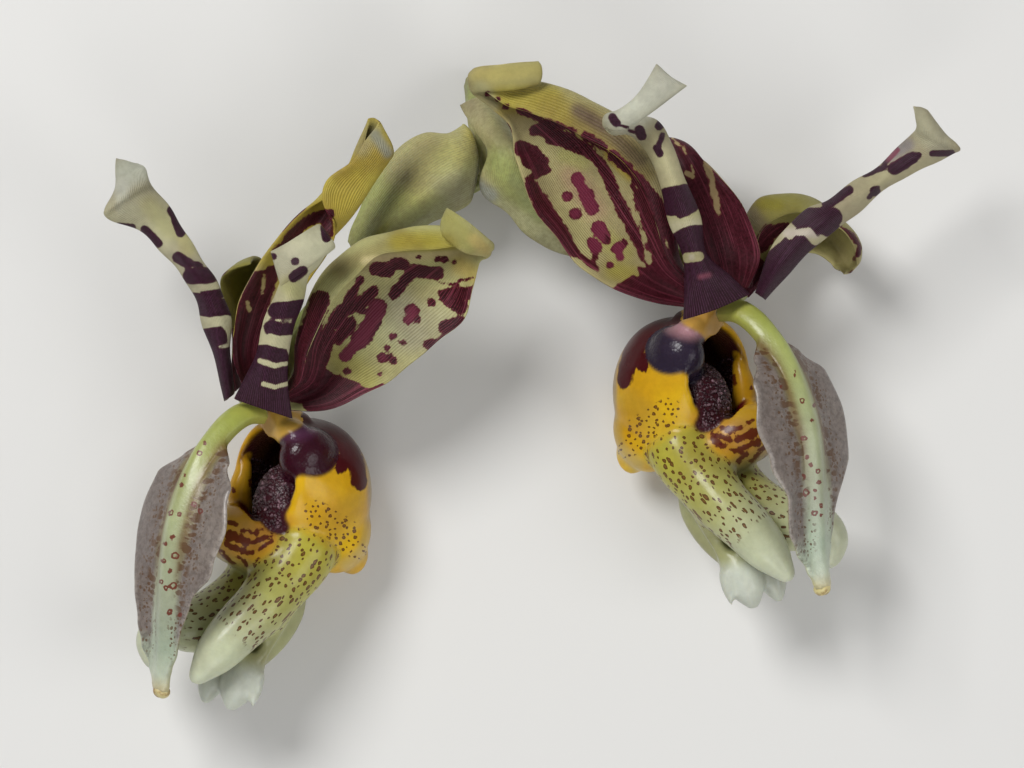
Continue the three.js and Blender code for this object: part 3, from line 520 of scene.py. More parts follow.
rightNearSepal = {
    "rows": [
        [[-5, 1.8, 4.4], [-4.4, 2.4, 2], [-4.6, 1.8, -0.2], [-5, 0.6, -1.2], [-5.4, -0.6, -0.8],
         [-5.8, -1.6, 0.6]],
        [[-10.4, 7.6, 9], [-8.8, 7.6, 5], [-10, 6.8, 1], [-12, 5, -1], [-14.4, 2.8, 0],
         [-16.4, 0.2, 3]],
        [[-13.4, 14.8, 12], [-10, 15.4, 8], [-13.2, 14, 2], [-16.8, 10.8, -1], [-20.8, 7.2, 0],
         [-24.8, 3.8, 4]],
        [[-17.2, 23.2, 14], [-12.6, 23.6, 10], [-16.8, 21.6, 2], [-21.6, 17.2, -1], [-26.8, 13, 0],
         [-32, 10.8, 5]],
        [[-23.6, 30, 14], [-17.2, 33, 10], [-22, 28.8, 2], [-26.8, 24.4, -1], [-32.4, 20, 0],
         [-38, 19.4, 5]],
        [[-31.2, 33.8, 13], [-27.2, 39.2, 9], [-28.8, 35.6, 2], [-32.4, 30.8, 0], [-36.4, 27, 1],
         [-40.6, 27.2, 5]],
        [[-38.4, 36.6, 12], [-34, 42.2, 9], [-36, 39.2, 3], [-38.4, 36, 2], [-40.4, 33.2, 3],
         [-42.2, 33.2, 5]],
        [[-44.4, 38.8, 11], [-42, 43.2, 9], [-42.8, 41.6, 6], [-44, 39.2, 5], [-45, 38, 6],
         [-46, 37.8, 7]],
        [[-50, 45, 12], [-50.4, 44, 11.5], [-50.4, 43, 11], [-50.2, 42.2, 10.5], [-49.8, 41.4, 10],
         [-49.2, 40.6, 9.4]],
        [[-43.8, 46.2, 14], [-43.8, 45.2, 14], [-43.6, 44.2, 14], [-43.4, 43.2, 14],
         [-43.2, 42.2, 14], [-43, 41.2, 13.6]],
        [[-36.8, 47, 12], [-36.2, 46.2, 12], [-36, 45.2, 12], [-36, 44.2, 12], [-36.2, 43.2, 12],
         [-36.6, 42.4, 12]],
    ],
    "seed": 12, "tint": "#a2976a",
    "patches": [
        (-1.9, 56.8, 7.1, 56.8, 3, "#9a8a38"), (7.1, 55.8, 14.6, 51.8, 3, "#96843a"),
        (14.6, 51.8, 22.6, 45.8, 2.75, "#8f7f48"), (22.6, 45.8, 26.6, 41.8, 2, "#786a40"),
        (13.1, 54.8, 18.6, 51.3, 1.4, "#6e5c48"), (20.1, 49.8, 25.6, 44.8, 1.3, "#6c5d42"),
        (-6.4, 61.6, 5.1, 62.8, 1.7, "#b3a466"), (-6.4, 59.3, -3.9, 55.8, 1.4, "#aaa274"),
        (12.1, 41.8, 16.6, 34.8, 2.25, "#a8906e"), (19.6, 45.8, 23.6, 41.8, 1.1, "#a8903f"),
        (20.6, 22.8, 23.6, 21.8, 2, "#a39a4c"), (18.6, 28.8, 22.6, 26.3, 2, "#a39c5c"),
        (10.6, 45.8, 14.1, 44.3, 1.5, "#a8a266"),
    ],
    "spots": [
        (-4.7, 58.1, 0.61), (-2.7, 57.2, 0.67), (-1.2, 55.5, 0.61),
        (1.4, 54.7, 5.6, 52.9, 9.6, 51.6, 0.67), (9.6, 51.6, 12.6, 50.8, 0.51),
        (4.4, 50.7, 6.6, 51.4, 1.22), (6.6, 51.4, 8.1, 51.3, 0.78), (8.3, 49.3, 1.66),
        (8.3, 49.3, 11.1, 48.6, 1.66), (11.1, 48.6, 14.4, 47.1, 1.44),
        (14.4, 47.1, 17.1, 44.8, 1.11), (17.1, 44.8, 19.1, 41.3, 20.9, 37.3, 22.9, 33.3, 1.22),
        (22.9, 33.3, 24.9, 29.3, 1.11), (24.9, 29.3, 26.1, 25.3, 0.89),
        (14.6, 49.6, 18.4, 47.4, 0.89), (20.1, 45.8, 23.1, 43.1, 1.11),
        (23.1, 43.1, 24.6, 41.3, 0.78), (25.1, 40.8, 27.6, 37.8, 1.44),
        (27.6, 37.8, 30.1, 33.8, 1.66), (30.1, 33.8, 32.1, 29.8, 1.77),
        (32.1, 29.8, 33.1, 25.8, 1.55), (2, 47.1, 4.1, 46.1, 1.66), (3.9, 44.8, 5.4, 44.3, 1.99),
        (3.4, 43.8, 0.89), (3.1, 41.2, 7.1, 42.6, 0.67), (3.7, 39.6, 5.6, 36.8, 1.44),
        (5.6, 36.8, 7.6, 33.3, 1.77), (7.6, 33.3, 10.6, 28.8, 1.55), (10.6, 28.8, 12.6, 26.3, 1.11),
        (12.6, 26.3, 17.1, 23.1, 0.67), (13.2, 41.1, 1.55), (13.2, 41.1, 15, 37.8, 1.11),
        (15, 37.8, 15.9, 35.2, 1.44), (11, 37.5, 1.11), (12.6, 34.1, 1.33), (17.4, 31.1, 1.55),
        (17.4, 31.1, 18.7, 29.1, 1.33), (16.6, 27.6, 1.5), (15.6, 28.6, 0.89), (16.6, 25.6, 0.67),
        (21.2, 27.1, 1.33), (21.2, 27.1, 21.7, 25.2, 0.95), (22.6, 28.3, 0.56), (19.5, 23.9, 0.78),
        (16.4, 24.3, 0.56), (20.6, 18.3, 24.6, 20.8, 1.11), (23.6, 17.8, 28.6, 20.8, 2.6),
        (27.6, 19.3, 33.6, 17.8, 2.87), (25.6, 22.8, 27.6, 22.8, 0.78),
        (25.6, 37.8, 27.6, 31.8, 1.55), (27.6, 31.8, 29.6, 24.8, 2.32),
        (29.6, 24.8, 33.1, 19.8, 3.15), (24.1, 39.8, 25.6, 35.8, 0.56),
    ],
    "pale": [
        (23.4, 37.8, 25.1, 33.8, 0.35), (25.1, 33.8, 26.6, 28.8, 0.4),
        (26.9, 26.3, 27.4, 24.3, 0.6),
    ],
    "blush": [
        (13.2, 41.1, 15.9, 35.2, 1.5), (11, 37.5, 0.9), (12.6, 34.1, 1.1),
        (17.4, 31.1, 16.6, 27.6, 1.7), (21.2, 27.1, 21.7, 25.2, 1.3), (19.5, 23.9, 0.6),
    ],
}
makeSegment("right_near_sepal", rightNearSepal)

leftNearSepal = {
    "rows": [
        [[5, 1.8, 4.4], [4.4, 2.4, 2], [4.6, 1.8, -0.2], [5, 0.6, -1.2], [5.4, -0.6, -0.8],
         [5.8, -1.6, 0.6]],
        [[8.2, 4.4, 9], [7, 6, 5], [8.4, 5.2, 1], [10.8, 3.6, -1], [12.4, 1.4, 0], [13.6, -1.6, 3]],
        [[10, 10.4, 12], [7.6, 12.8, 8], [9.6, 12, 2], [13.6, 10, -1], [17.6, 6.8, 0],
         [21.2, 2, 4]],
        [[13.2, 16.8, 14], [10, 20.4, 10], [12.4, 18.4, 2], [17.6, 15.6, -1], [23.2, 11.2, 0],
         [28.2, 6.4, 5]],
        [[18, 23.6, 14], [14.4, 27.2, 10], [16.8, 24.8, 2], [22.4, 21.2, -1], [28.8, 16.4, 0],
         [34.4, 11.4, 5]],
        [[24, 29.2, 13], [20, 31.8, 9.6], [22.4, 29.2, 2], [28, 26, 0], [34, 21.6, 1],
         [40.4, 16.4, 5]],
        [[31.6, 30.4, 12], [27.6, 33.6, 9.4], [29.6, 31.6, 3], [34, 29.2, 2], [38.4, 26.4, 3],
         [42.4, 22.4, 6]],
        [[39.2, 30.6, 11], [35.6, 34.6, 9.4], [37.2, 32.8, 6], [39.6, 30.8, 6], [41.6, 29.2, 7],
         [43.6, 27.6, 8]],
        [[45.6, 31.2, 12], [45.8, 30.8, 11.5], [45.8, 30.4, 11], [45.6, 30, 10.4],
         [45.4, 29.4, 9.8], [44.8, 28.6, 9.4]],
        [[42.4, 34.8, 14.4], [42, 33.8, 14.4], [41.6, 32.8, 14.4], [41, 31.8, 14.4], [40.4, 31, 14],
         [39.8, 30.2, 13.6]],
        [[37.2, 38.4, 12.6], [36.8, 37.8, 12.6], [36.4, 37, 12.6], [36, 36, 12.6],
         [35.8, 34.6, 12.6], [36.2, 32.8, 12.6]],
    ],
    "seed": 13, "tint": "#aba672",
    "patches": [
        (-34.4, 22.8, -22.4, 28.6, 2, "#8f8456"), (-22.4, 28.6, -12.4, 28.3, 2.25, "#978834"),
        (-29.4, 24.8, -7.4, 26.2, 0.8, "#b5a578"), (-12.4, 32.8, -8.4, 27.8, 2, "#a39c5c"),
        (-7.4, 28.8, -5.4, 26.8, 1.25, "#b8a566"), (-10.4, 23.8, -7.4, 21.8, 1.8, "#b3a35e"),
        (-23.4, 10.8, -14.9, 12.3, 4, "#aeaa82"), (-34.4, 4.8, -29.4, 0.8, 3, "#a49f58"),
        (-22.4, 15.8, -19.9, 9.8, 3, "#aaa684"),
    ],
    "spots": [
        (-18.7, 25.3, 0.61), (-14.9, 24.9, 0.73), (-13.4, 24.9, 0.73), (-11.5, 24.5, 0.61),
        (-27.2, 23, -24.7, 22.7, 1.38), (-23.4, 24.4, -21.7, 24, 1.06),
        (-19.3, 22.6, -14.9, 22.1, 1.44), (-22.4, 23.7, -19, 22.6, 0.56),
        (-20.4, 22.1, -23.4, 18.1, 1.22), (-13.2, 17.7, -8.7, 18.1, 1.55),
        (-12.4, 16.8, -10.4, 15.6, 1.66), (-8.9, 18.1, -7.4, 19.8, 0.67),
        (-14.9, 20.3, -10.9, 19.8, 0.34), (-10.4, 20.8, -7.9, 21.1, 0.34),
        (-14.7, 18.6, -12.4, 17.6, 0.4), (-16.1, 16.2, 0.95), (-19.9, 14.8, 1.5),
        (-20.7, 12.8, 1.06), (-19.1, 12.9, 0.89), (-13.2, 11.4, -10.4, 12.1, 1.44),
        (-27.9, 18.7, -30.8, 15.6, 1.22), (-30.8, 15.6, -29.9, 14.8, 0.89),
        (-26.9, 15.3, -27.9, 12.3, 1.88), (-27.9, 12.3, -30.4, 8.8, 1.77),
        (-30.4, 8.8, -33.5, 5.4, 1.22), (-32.4, 12.2, -34.4, 9.6, 1.44),
        (-34.9, 8.3, -33.1, 9.8, 0.67), (-28.4, 8.8, 0.78), (-23.9, 9.6, 0.84), (-21.8, 8.2, 0.78),
        (-25, 7.3, 0.73), (-25.9, 5.3, 1.06), (-24.4, 5.6, 0.67), (-23.8, 4.8, 0.84),
        (-26.5, 2.1, 0.61), (-33.1, 2.6, 0.84), (-33.6, 5.6, 0.67), (-16.9, 7.9, -15.9, 8.3, 0.89),
        (-15.9, 8.3, -11.4, 10.1, 0.67), (-11.4, 10.1, -8.9, 12.3, 1),
        (-8.4, 12.8, -7.4, 16.8, 0.45), (-39.9, 12.3, -38.4, 16.8, 1.99),
        (-40.4, 9.8, -41.9, 4.8, 2.54), (-41.9, 4.8, -42.9, -1.2, 2.76),
        (-38.9, 4.8, -37.4, 9.8, 2.32), (-37.4, 9.8, -34.4, 14.8, 1.22),
        (-32.9, 16.3, -30.3, 20.8, 0.89), (-35.1, 12.3, -32.4, 16.3, 1.55),
        (-39.4, 0.8, -37.4, -1.2, 3.42), (-35.4, -0.7, -31.9, -2.2, 2.6),
        (-31.9, -2.2, -28.9, -2, 1.11), (-29.4, -2.2, -25.9, -0.2, 0.67),
        (-39.9, -3.2, -33.4, -3.7, 2.32), (-35.9, 0.6, 1.22), (-31.9, -1.2, 0.78),
    ],
    "pale": [(-35.1, 17.8, -30.4, 22.8, 0.5), (-36.1, 14.8, -37.9, 10.8, 0.2)],
    "blush": [
        (-26.9, 15.3, -30.4, 8.8, 1.7), (-30.4, 8.8, -33.6, 5.3, 1.2),
        (-19.9, 14.7, -20.6, 12.9, 1.1), (-25.9, 5.3, 0.85), (-23.9, 9.6, 0.65), (-25, 7.3, 0.55),
    ],
}
makeSegment("left_near_sepal", leftNearSepal)

rightNearPetal = {
    "rows": [
        [[-8, -4, 6], [-1.6, -1.8, 8], [5.2, 1.2, 6]],
        [[-7.8, 2, 8], [-3.6, 3.2, 11], [1.2, 4.8, 9]],
        [[-8.2, 8.4, 10], [-5.6, 8.8, 13], [-3.2, 9.2, 11]],
        [[-10.8, 15.6, 12], [-7.8, 15.8, 15], [-4.8, 16, 13]],
        [[-12.8, 22, 14], [-10.2, 22.4, 17], [-7.8, 23, 15]],
        [[-15.8, 28.4, 16], [-12.8, 29.2, 19], [-10.2, 30, 17]],
        [[-19, 32, 18], [-16.4, 33.6, 20.5], [-13.6, 35.2, 19]],
        [[-22.4, 32.4, 20], [-21.6, 34.2, 22], [-20.6, 36, 21]],
        [[-23.6, 33.2, 23], [-23.8, 34.6, 24], [-23.4, 36, 23.5]],
        [[-20, 33, 25.6], [-20.4, 35, 27], [-20.8, 36.8, 26.6]],
        [[-14.4, 36.4, 26.6], [-15.8, 38.4, 28], [-17.2, 40.2, 27.6]],
        [[-7.8, 41.4, 26], [-11, 43.2, 27], [-13.8, 46, 26]],
    ],
    "seed": 14, "tint": "#a59e74",
    "patches": [
        (22.6, 54.3, 30.6, 60.3, 4.5, "#c0c0ae"), (30.6, 46.8, 31.6, 41.8, 3, "#b6ae88"),
        (32.6, 31.3, 37.1, 31.8, 1.5, "#b4ac8c"), (35.9, 25.3, 0.6, "#b8ae96"),
    ],
    "spots": [
        (38.6, 14.3, 37.1, 24.3, 7.5), (42.6, 16.8, 47.6, 19.1, 3), (34.6, 27.3, 37.1, 28.6, 3),
        (30.9, 37.8, 34.6, 38.6, 1.5), (31.6, 35.6, 35.6, 36.1, 2), (33.6, 33.8, 35.1, 34.3, 0.7),
        (28.9, 47.2, 29.6, 46.1, 0.8), (30.1, 49.8, 29.1, 47.2, 0.6), (30.2, 52.7, 29.4, 51.6, 0.9),
        (25.5, 50.8, 25.9, 49.7, 1), (20.1, 53.3, 20.9, 52.2, 0.9), (23.4, 50.7, 25.1, 50.2, 0.3),
        (20.6, 52.1, 23.1, 51.3, 0.25),
    ],
    "pale": [(35, 25.2, 37.4, 25.5, 1)],
    "blush": [(37.6, 21.4, 39.4, 21.8, 0.45)],
}
makeSegment("right_near_petal", rightNearPetal)

leftNearPetal = {
    "rows": [
        [[-5.2, 0.8, 6], [0.8, -1.2, 8], [6.4, -3.2, 6]],
        [[-2.8, 5.2, 9], [1.2, 4.2, 11], [5.6, 3.6, 9]],
        [[-0.8, 9.2, 11], [2.4, 9.2, 13], [5.8, 9.2, 11]],
        [[1, 14, 13], [3.8, 14.2, 15], [7, 14.4, 13]],
        [[2.8, 19.2, 14], [5.6, 19.4, 16.5], [8.6, 19.4, 14]],
        [[4.4, 24, 16], [7.2, 24.4, 18], [9.4, 25, 16]],
        [[7.2, 28.4, 18], [9.8, 27.6, 20], [12, 27.6, 18]],
        [[10.6, 33.4, 20], [12.6, 31.8, 22], [14.4, 30, 21]],
        [[11.8, 34.5, 23], [13.8, 32.3, 24], [15.4, 30.1, 23]],
        [[9, 32.9, 25.5], [10.4, 30.3, 26.5], [12, 27.5, 25.5]],
        [[5.6, 30.9, 26], [7.2, 28.1, 27], [8.4, 24.9, 26]],
        [[2.8, 29.5, 25], [3.8, 26.3, 26], [4.8, 22.7, 25]],
    ],
    "seed": 15, "tint": "#b0a988",
    "patches": [(-46.4, 24.8, -38.4, 27.8, 4, "#bcb99c"), (-44.4, 19.8, -42.4, 17.8, 2, "#a8a274")],
    "spots": [
        (-47.4, -4.2, -47.4, -1.7, 8), (-52.4, 1.3, -42.9, 1.6, 2.1), (-50.9, 5.6, -43.7, 6.1, 2.2),
        (-47.9, 11.2, -43.2, 11.7, 1.8), (-47.2, 14.6, -40.4, 15.4, 1.7), (-47.7, 25.5, 0.7),
        (-43.4, 24.5, 0.8), (-43.7, 21.4, -41.9, 22.6, 1.1), (-37.4, 31.3, -37.1, 29.3, 1),
    ],
    "pale": [
        (-48.4, 8.9, -45.2, 8.1, 1.1), (-44.8, 8.6, -44, 5.6, 0.6), (-50.4, 4.6, -47.4, 3.7, 0.55),
        (-47.4, 3.7, -45.2, 4.1, 0.45), (-49.7, 0, -47.4, -0.6, 0.5),
        (-47.4, -0.6, -44.8, 0.1, 0.45), (-47.2, 12.9, -45.9, 12.4, -44.2, 12.5, 0.2),
    ],
}
makeSegment("left_near_petal", leftNearPetal)

rightOuterPetal = {
    "rows": [
        [[6.6, 1.4, 2.6], [7.4, 0.8, 4.4], [8.4, 0, 2.6]],
        [[8.8, 8.4, 4], [10.8, 6.6, 7], [12.8, 4.8, 4]],
        [[12.2, 13.6, 5], [14.8, 11.6, 8], [17.2, 9.6, 5]],
        [[16.4, 18.2, 6], [19.2, 15.6, 9], [21.6, 13.2, 6]],
        [[20.8, 20.2, 6], [22.8, 18.2, 8], [24.8, 16.2, 5]],
        [[25.6, 23.4, 5], [27.6, 21.4, 7], [29.4, 19.8, 4]],
        [[30.8, 26.6, 4], [32.4, 24.6, 6], [34, 23.2, 3]],
        [[35.2, 30.6, 4], [37.2, 28, 6], [39.6, 26.2, 3]],
        [[37.6, 33, 5.6], [41.6, 30.6, 8], [45.6, 28.8, 5]],
        [[38.4, 34.4, 8], [42.4, 31.8, 9.4], [47, 30, 7]],
        [[38, 36.2, 9], [40.8, 34.8, 9.4], [44.4, 32.4, 8]],
        [[37.6, 38.2, 9], [38.8, 38, 9], [40.2, 37.4, 8]],
    ],
    "seed": 16, "tint": "#a59c7c",
    "patches": [
        (80.6, 53.3, 85.6, 47.8, 2.5, "#aca88c"), (75.6, 45.6, 79.1, 47.8, 1.3, "#8f8884"),
        (55.1, 30.2, 60.6, 30.2, 1, "#b5a99c"),
    ],
    "spots": [
        (47.6, 17.8, 53.1, 23.3, 58.1, 27.8, 3.5), (57.6, 33.3, 64.1, 33.3, 2),
        (60.6, 33.8, 63.6, 35.8, 0.7), (60.6, 32.3, 63.6, 31.3, 2), (63.1, 36.2, 65.6, 37.8, 1.2),
        (65.6, 37.8, 67.4, 38.8, 1), (72.6, 38.6, 1.1), (71.4, 37.3, 73.1, 39.3, 0.5),
        (76.4, 43.1, 80.1, 45.2, 1.3), (80.1, 45.2, 81.4, 45.8, 0.6), (84.1, 46.1, 87.9, 46.2, 0.7),
        (70.6, 41.9, 74.6, 43.4, 0.6), (74.6, 44.3, 77.1, 46.8, 0.6),
    ],
    "pale": [(54.6, 30.2, 59.1, 30.5, 0.7), (59.1, 30.5, 60.7, 28.6, 0.9), (55.6, 29.7, 0.8)],
    "blush": [(75.6, 45.3, 79.1, 47.8, 1)],
}
makeSegment("right_outer_petal", rightOuterPetal)

leftOuterPetal = {
    "rows": [
        [[-7.2, 0.2, 2.6], [-6.4, 1, 4.2], [-5.4, 2, 2.6]],
        [[-9.2, 8.4, 5], [-7.6, 9.2, 7], [-6, 10, 5]],
        [[-11.2, 14.4, 6], [-8.6, 15.4, 8], [-6, 16.6, 6]],
        [[-13, 20.8, 6], [-10.8, 21.8, 8], [-8, 22.8, 6]],
        [[-16, 26.2, 6], [-13.8, 27, 8], [-11.2, 27.8, 6]],
        [[-20.2, 30.4, 5], [-17.4, 31.4, 7], [-14.2, 32.6, 5]],
        [[-24.4, 34.2, 6], [-20.8, 35.8, 7], [-17.2, 37.6, 5]],
        [[-30, 36.4, 9], [-25.6, 39.6, 10], [-20.8, 42.2, 7]],
        [[-30.6, 38.2, 11], [-26.2, 41.2, 11.4], [-22, 44.2, 9]],
        [[-28.6, 42.8, 10], [-25.6, 44.4, 10.4], [-22.8, 46.4, 9]],
        [[-28.4, 48.2, 8], [-26.6, 47.8, 8.4], [-24.4, 46.6, 8]],
    ],
    "seed": 17, "tint": "#aca688",
    "patches": [
        (-77.4, 42.3, -74.4, 43.3, 3, "#b9bba9"), (-78.2, 39.8, -77.4, 35.8, 1.5, "#bdbdac"),
        (-76.4, 35.3, -71.4, 38.3, 2.3, "#a7a386"), (-72.4, 35.8, -68.4, 30.8, 2, "#a49e76"),
        (-65.9, 29.8, -64.9, 26.8, 1.5, "#afa777"),
    ],
    "spots": [
        (-56.4, -4.2, -57.4, 4.8, 3.5), (-59.4, 5.3, -59.9, 9.1, 3),
        (-63.2, 16.1, -57.4, 14.8, 2.2), (-61.4, 17.6, -58.4, 18.3, 1.2),
        (-64.2, 21.6, -60.4, 21.8, 1.7), (-66.8, 25.3, -64.9, 24.2, 1.2),
        (-64.9, 24.2, -62.4, 23.7, 0.7), (-73.4, 30.8, -70.7, 28.1, 0.9),
        (-68.2, 34.8, -67.2, 32.8, 0.8), (-67.2, 32.8, -66.3, 30.3, 1),
        (-78.7, 31.6, -75.9, 31.3, 0.7), (-58.9, 19.8, -58.4, 18.8, 0.7), (-57.9, 12.8, 0.4),
    ],
    "pale": [
        (-58.4, 7.4, -56.3, 7.8, 0.3), (-61.7, 12, -56.9, 12.8, 1), (-63.7, 19, -58.4, 19.8, 0.7),
    ],
}
makeSegment("left_outer_petal", leftOuterPetal)

rightDorsalSepal = {
    "rows": [
        [[-2.6, 2.6, 2.6], [-1, 2.6, 0.8], [1.2, 2.6, 0.2], [3.4, 2.6, 0.8], [5.2, 2.4, 2.6]],
        [[-5.6, 7.6, 7], [-3.2, 8.4, 4], [0, 8.8, 3], [3.6, 8.8, 4], [7.2, 8.8, 7]],
        [[-9.6, 14.8, 6], [-5.6, 15.6, 5], [-2.4, 16, 4], [1.2, 16.4, 5], [4.6, 16.6, 8]],
        [[-12.4, 21.6, 6], [-8.4, 22.4, 5], [-5.2, 22.8, 4], [-2, 23.2, 5], [1, 22, 8]],
        [[-14.6, 26.8, 3.4], [-11.2, 28, 3], [-8.4, 28.8, 2], [-5.6, 28.6, 3], [-3.2, 27, 5]],
        [[-14.4, 30, 0], [-13.2, 31.2, -1], [-11.4, 32, -2], [-9.4, 31.8, -1], [-7.6, 30.8, 0]],
        [[-15.2, 30.8, -6], [-14.4, 31.8, -7], [-13.6, 32.4, -8], [-12.8, 32.6, -7],
         [-12, 32.2, -6]],
    ],
    "seed": 18, "tint": "#a89468", "ground": 3,
    "pale": [
        (38.9, 44.3, 39.9, 40.8, 0.65), (39.9, 40.8, 41, 35.8, 0.55), (41, 35.8, 41.2, 33.8, 0.25),
        (34.9, 42.3, 36.2, 41.6, 0.5), (32.1, 49.1, 33.6, 47.6, 0.25),
        (34.2, 47.2, 34.7, 46.2, 0.3), (35.9, 43.8, 36.2, 42.3, 0.25),
    ],
}
makeSegment("right_dorsal_sepal", rightDorsalSepal)

leftDorsalSepal = {
    "rows": [
        [[-3.4, 2.4, 2.4], [-2, 2.8, 0.8], [0, 3, 0.2], [1.6, 3, 0.8], [2.8, 2.6, 2.2]],
        [[-5.2, 9.2, 7], [-3.6, 9.6, 4.6], [-1.2, 10, 4], [1.6, 10, 5], [4, 9.6, 7]],
        [[-4.4, 18, 11], [-2, 18.6, 8], [1.6, 19.2, 6], [4.8, 19, 7], [7, 18.6, 9]],
        [[-0.8, 26, 12], [1.6, 25.8, 9], [5.2, 25.8, 7], [8.4, 25.6, 7], [10.4, 25.4, 9]],
        [[3, 31.8, 12], [5.2, 31.2, 9], [8.8, 30.6, 6], [12, 30.6, 7], [14.4, 32.2, 11]],
        [[8.4, 38, 10], [9.4, 36.8, 7], [12.8, 35.6, 5], [16.8, 36, 9], [13, 38.6, 14]],
        [[14.8, 42, 9.4], [13.6, 42.6, 7.4], [16.8, 41.2, 5], [21, 41.8, 9], [13.6, 43.4, 14]],
        [[18.8, 45.2, 10], [17.6, 46.4, 8], [21, 46, 5.6], [25, 47.8, 9.6], [18, 47.2, 13.8]],
        [[20.8, 49.6, 10.4], [20, 51, 9], [22.8, 50.6, 8], [25.8, 50.2, 10.6], [21, 51.6, 13.6]],
        [[21.6, 56, 12], [22.2, 56.2, 11.4], [22.8, 56.2, 11], [23.4, 55.8, 11.2],
         [24, 55.2, 11.8]],
    ],
    "seed": 19, "tint": "#a8943c", "bare": 0.8,
    "patches": [
        (-29.9, 47.3, -27.9, 50.8, 1.8, "#a89c64"), (-27.4, 49.8, -24.9, 46.3, 1.1, "#908e7a"),
        (-52.4, 19.8, -47.4, 9.8, 4, "#a8966e"), (-29.9, 38.3, -26.9, 42.8, 1.5, "#aa9840"),
        (-44.4, 28.8, -39.4, 33.8, 3, "#a8933c"),
    ],
    "spots": [
        (-44.9, 28.8, -41.4, 32.3, -36.6, 34.1, 1.1), (-37.1, 32.6, -36.6, 30.3, 1.1),
        (-47.4, 26.8, -45.4, 28.3, 0.6), (-50.4, 19.8, -52.4, 13.8, -53.9, 4.8, 3),
        (-54.4, 4.8, -54.4, -1.2, 3), (-47.9, 22.3, -50.4, 16.8, 1.5),
    ],
    "pale": [
        (-52.9, 16.2, -52.4, 14.8, 0.45), (-49.7, 21.6, -50, 18.3, 0.35),
        (-47.9, 16.8, -48.4, 9.8, 0.2),
    ],
}
makeSegment("left_dorsal_sepal", leftDorsalSepal)

rightFarSepal = {
    "rows": [
        [[6, 2.6, -2.4], [4.6, 3.2, -3.6], [4, 2.6, -5.6], [4.4, 1.4, -6.6], [5.6, 0.6, -6.4]],
        [[7, 10.4, -3], [4.4, 13.6, -7], [6.8, 10.8, -13], [10, 8.8, -13], [11.6, 7.6, -9]],
        [[9, 15.2, -4], [7.2, 20, -8], [10.8, 15.6, -16], [14, 12, -17], [15.6, 9.6, -13]],
        [[14.2, 17.2, -5], [12.8, 21, -9], [15.6, 17.2, -18], [18, 12.8, -20], [19.2, 9.2, -16]],
        [[19.6, 16.4, -6], [19.6, 19.6, -10], [20.8, 16, -18], [22, 12, -20], [22, 7.6, -16]],
        [[24, 14, -6], [24.8, 15.6, -10], [25.2, 12.4, -17], [24.8, 9.2, -19], [23.2, 6.4, -15]],
        [[26.8, 10.8, -6], [28, 11.2, -9], [27.2, 8.8, -14], [26, 6.8, -15], [24, 5.6, -12]],
        [[27.2, 7.2, -6], [27.6, 7.2, -8], [26.8, 6, -11], [26, 5.2, -11], [24.8, 4.8, -9]],
    ],
    "seed": 20, "tint": "#8e8654", "darkBelow": 0.12,
    "patches": [
        (47.1, 34.8, 55.6, 35.8, 3, "#857b3e"), (49.6, 36.3, 53.1, 35.8, 1.2, "#857a2c"),
        (48.1, 33.8, 50.1, 31.3, 1.5, "#7d6f50"), (59.1, 27.8, 67.6, 23.8, 4.5, "#ada46e"),
    ],
    "spots": [
        (49.6, 27.8, 51.4, 30.3, 1.7), (51.4, 30.3, 54.6, 31.3, 1.3),
        (65.6, 31.1, 67.9, 29.8, 69.4, 27.8, 0.5), (69.5, 27.3, 69.1, 25.8, 0.55),
        (68.4, 25.1, 0.45), (67.1, 21.9, 68.1, 22.4, 0.4), (64.6, 31.8, 0.4),
        (65.1, 33.3, 65.6, 31.3, 0.4),
    ],
}
makeSegment("right_far_sepal", rightFarSepal)

leftFarSepal = {
    "rows": [
        [[-5.6, 2, -2.8], [-4.6, 3, -4.4], [-3.8, 3.2, -6.4], [-3.6, 2.4, -8], [-4, 1.2, -8.8]],
        [[-6, 10.4, -3], [-5, 10.4, -8], [-2.4, 10.4, -12], [0, 10.4, -13], [2, 10.4, -10]],
        [[-7.4, 18.4, -4], [-5.6, 18.8, -12], [-2.4, 19.2, -17], [0.4, 19.2, -16], [2, 19.2, -11]],
        [[-8, 23.6, -4], [-6.4, 25.2, -12], [-3.2, 25.6, -18], [-0.6, 24.8, -16], [1, 23.6, -10]],
        [[-6, 25.8, -2], [-4.8, 27.2, -8], [-2.8, 28, -13], [-1.2, 27.6, -13], [0, 26.4, -9]],
        [[-2.4, 28, 1], [-2, 28.4, -1], [-1.6, 28.6, -3], [-1, 28.6, -5], [-0.4, 28.2, -6]],
    ],
    "seed": 21, "tint": "#8a8442", "darkBelow": 0.3,
    "patches": [
        (-56.4, 19.8, -51.4, 22.3, 3, "#8e8744"), (-39.9, 19.8, -38.9, 16.8, 2.5, "#7f8846"),
    ],
}
makeSegment("left_far_sepal", leftFarSepal)


# the column, its cap and the lip are in their flower's own frame: forward, up and to the side
flowerWays = {"left": ((-0.72, 0.1, 0.69), (-0.225, -0.974, 0)),      # forward, down
              "right": ((0.72, 0.1, 0.69), (0.225, -0.974, 0))}


def innerFrame(side):
    forward, down = (np.array(way, float) for way in flowerWays[side])
    up = -down / np.linalg.norm(down)
    ahead = forward - up * (forward @ up)
    ahead /= np.linalg.norm(ahead)
    return np.stack([ahead, up, np.cross(ahead, up)])


def outOfFlower(points, side):
    return points @ innerFrame(side) + np.array(flowerBase[side])


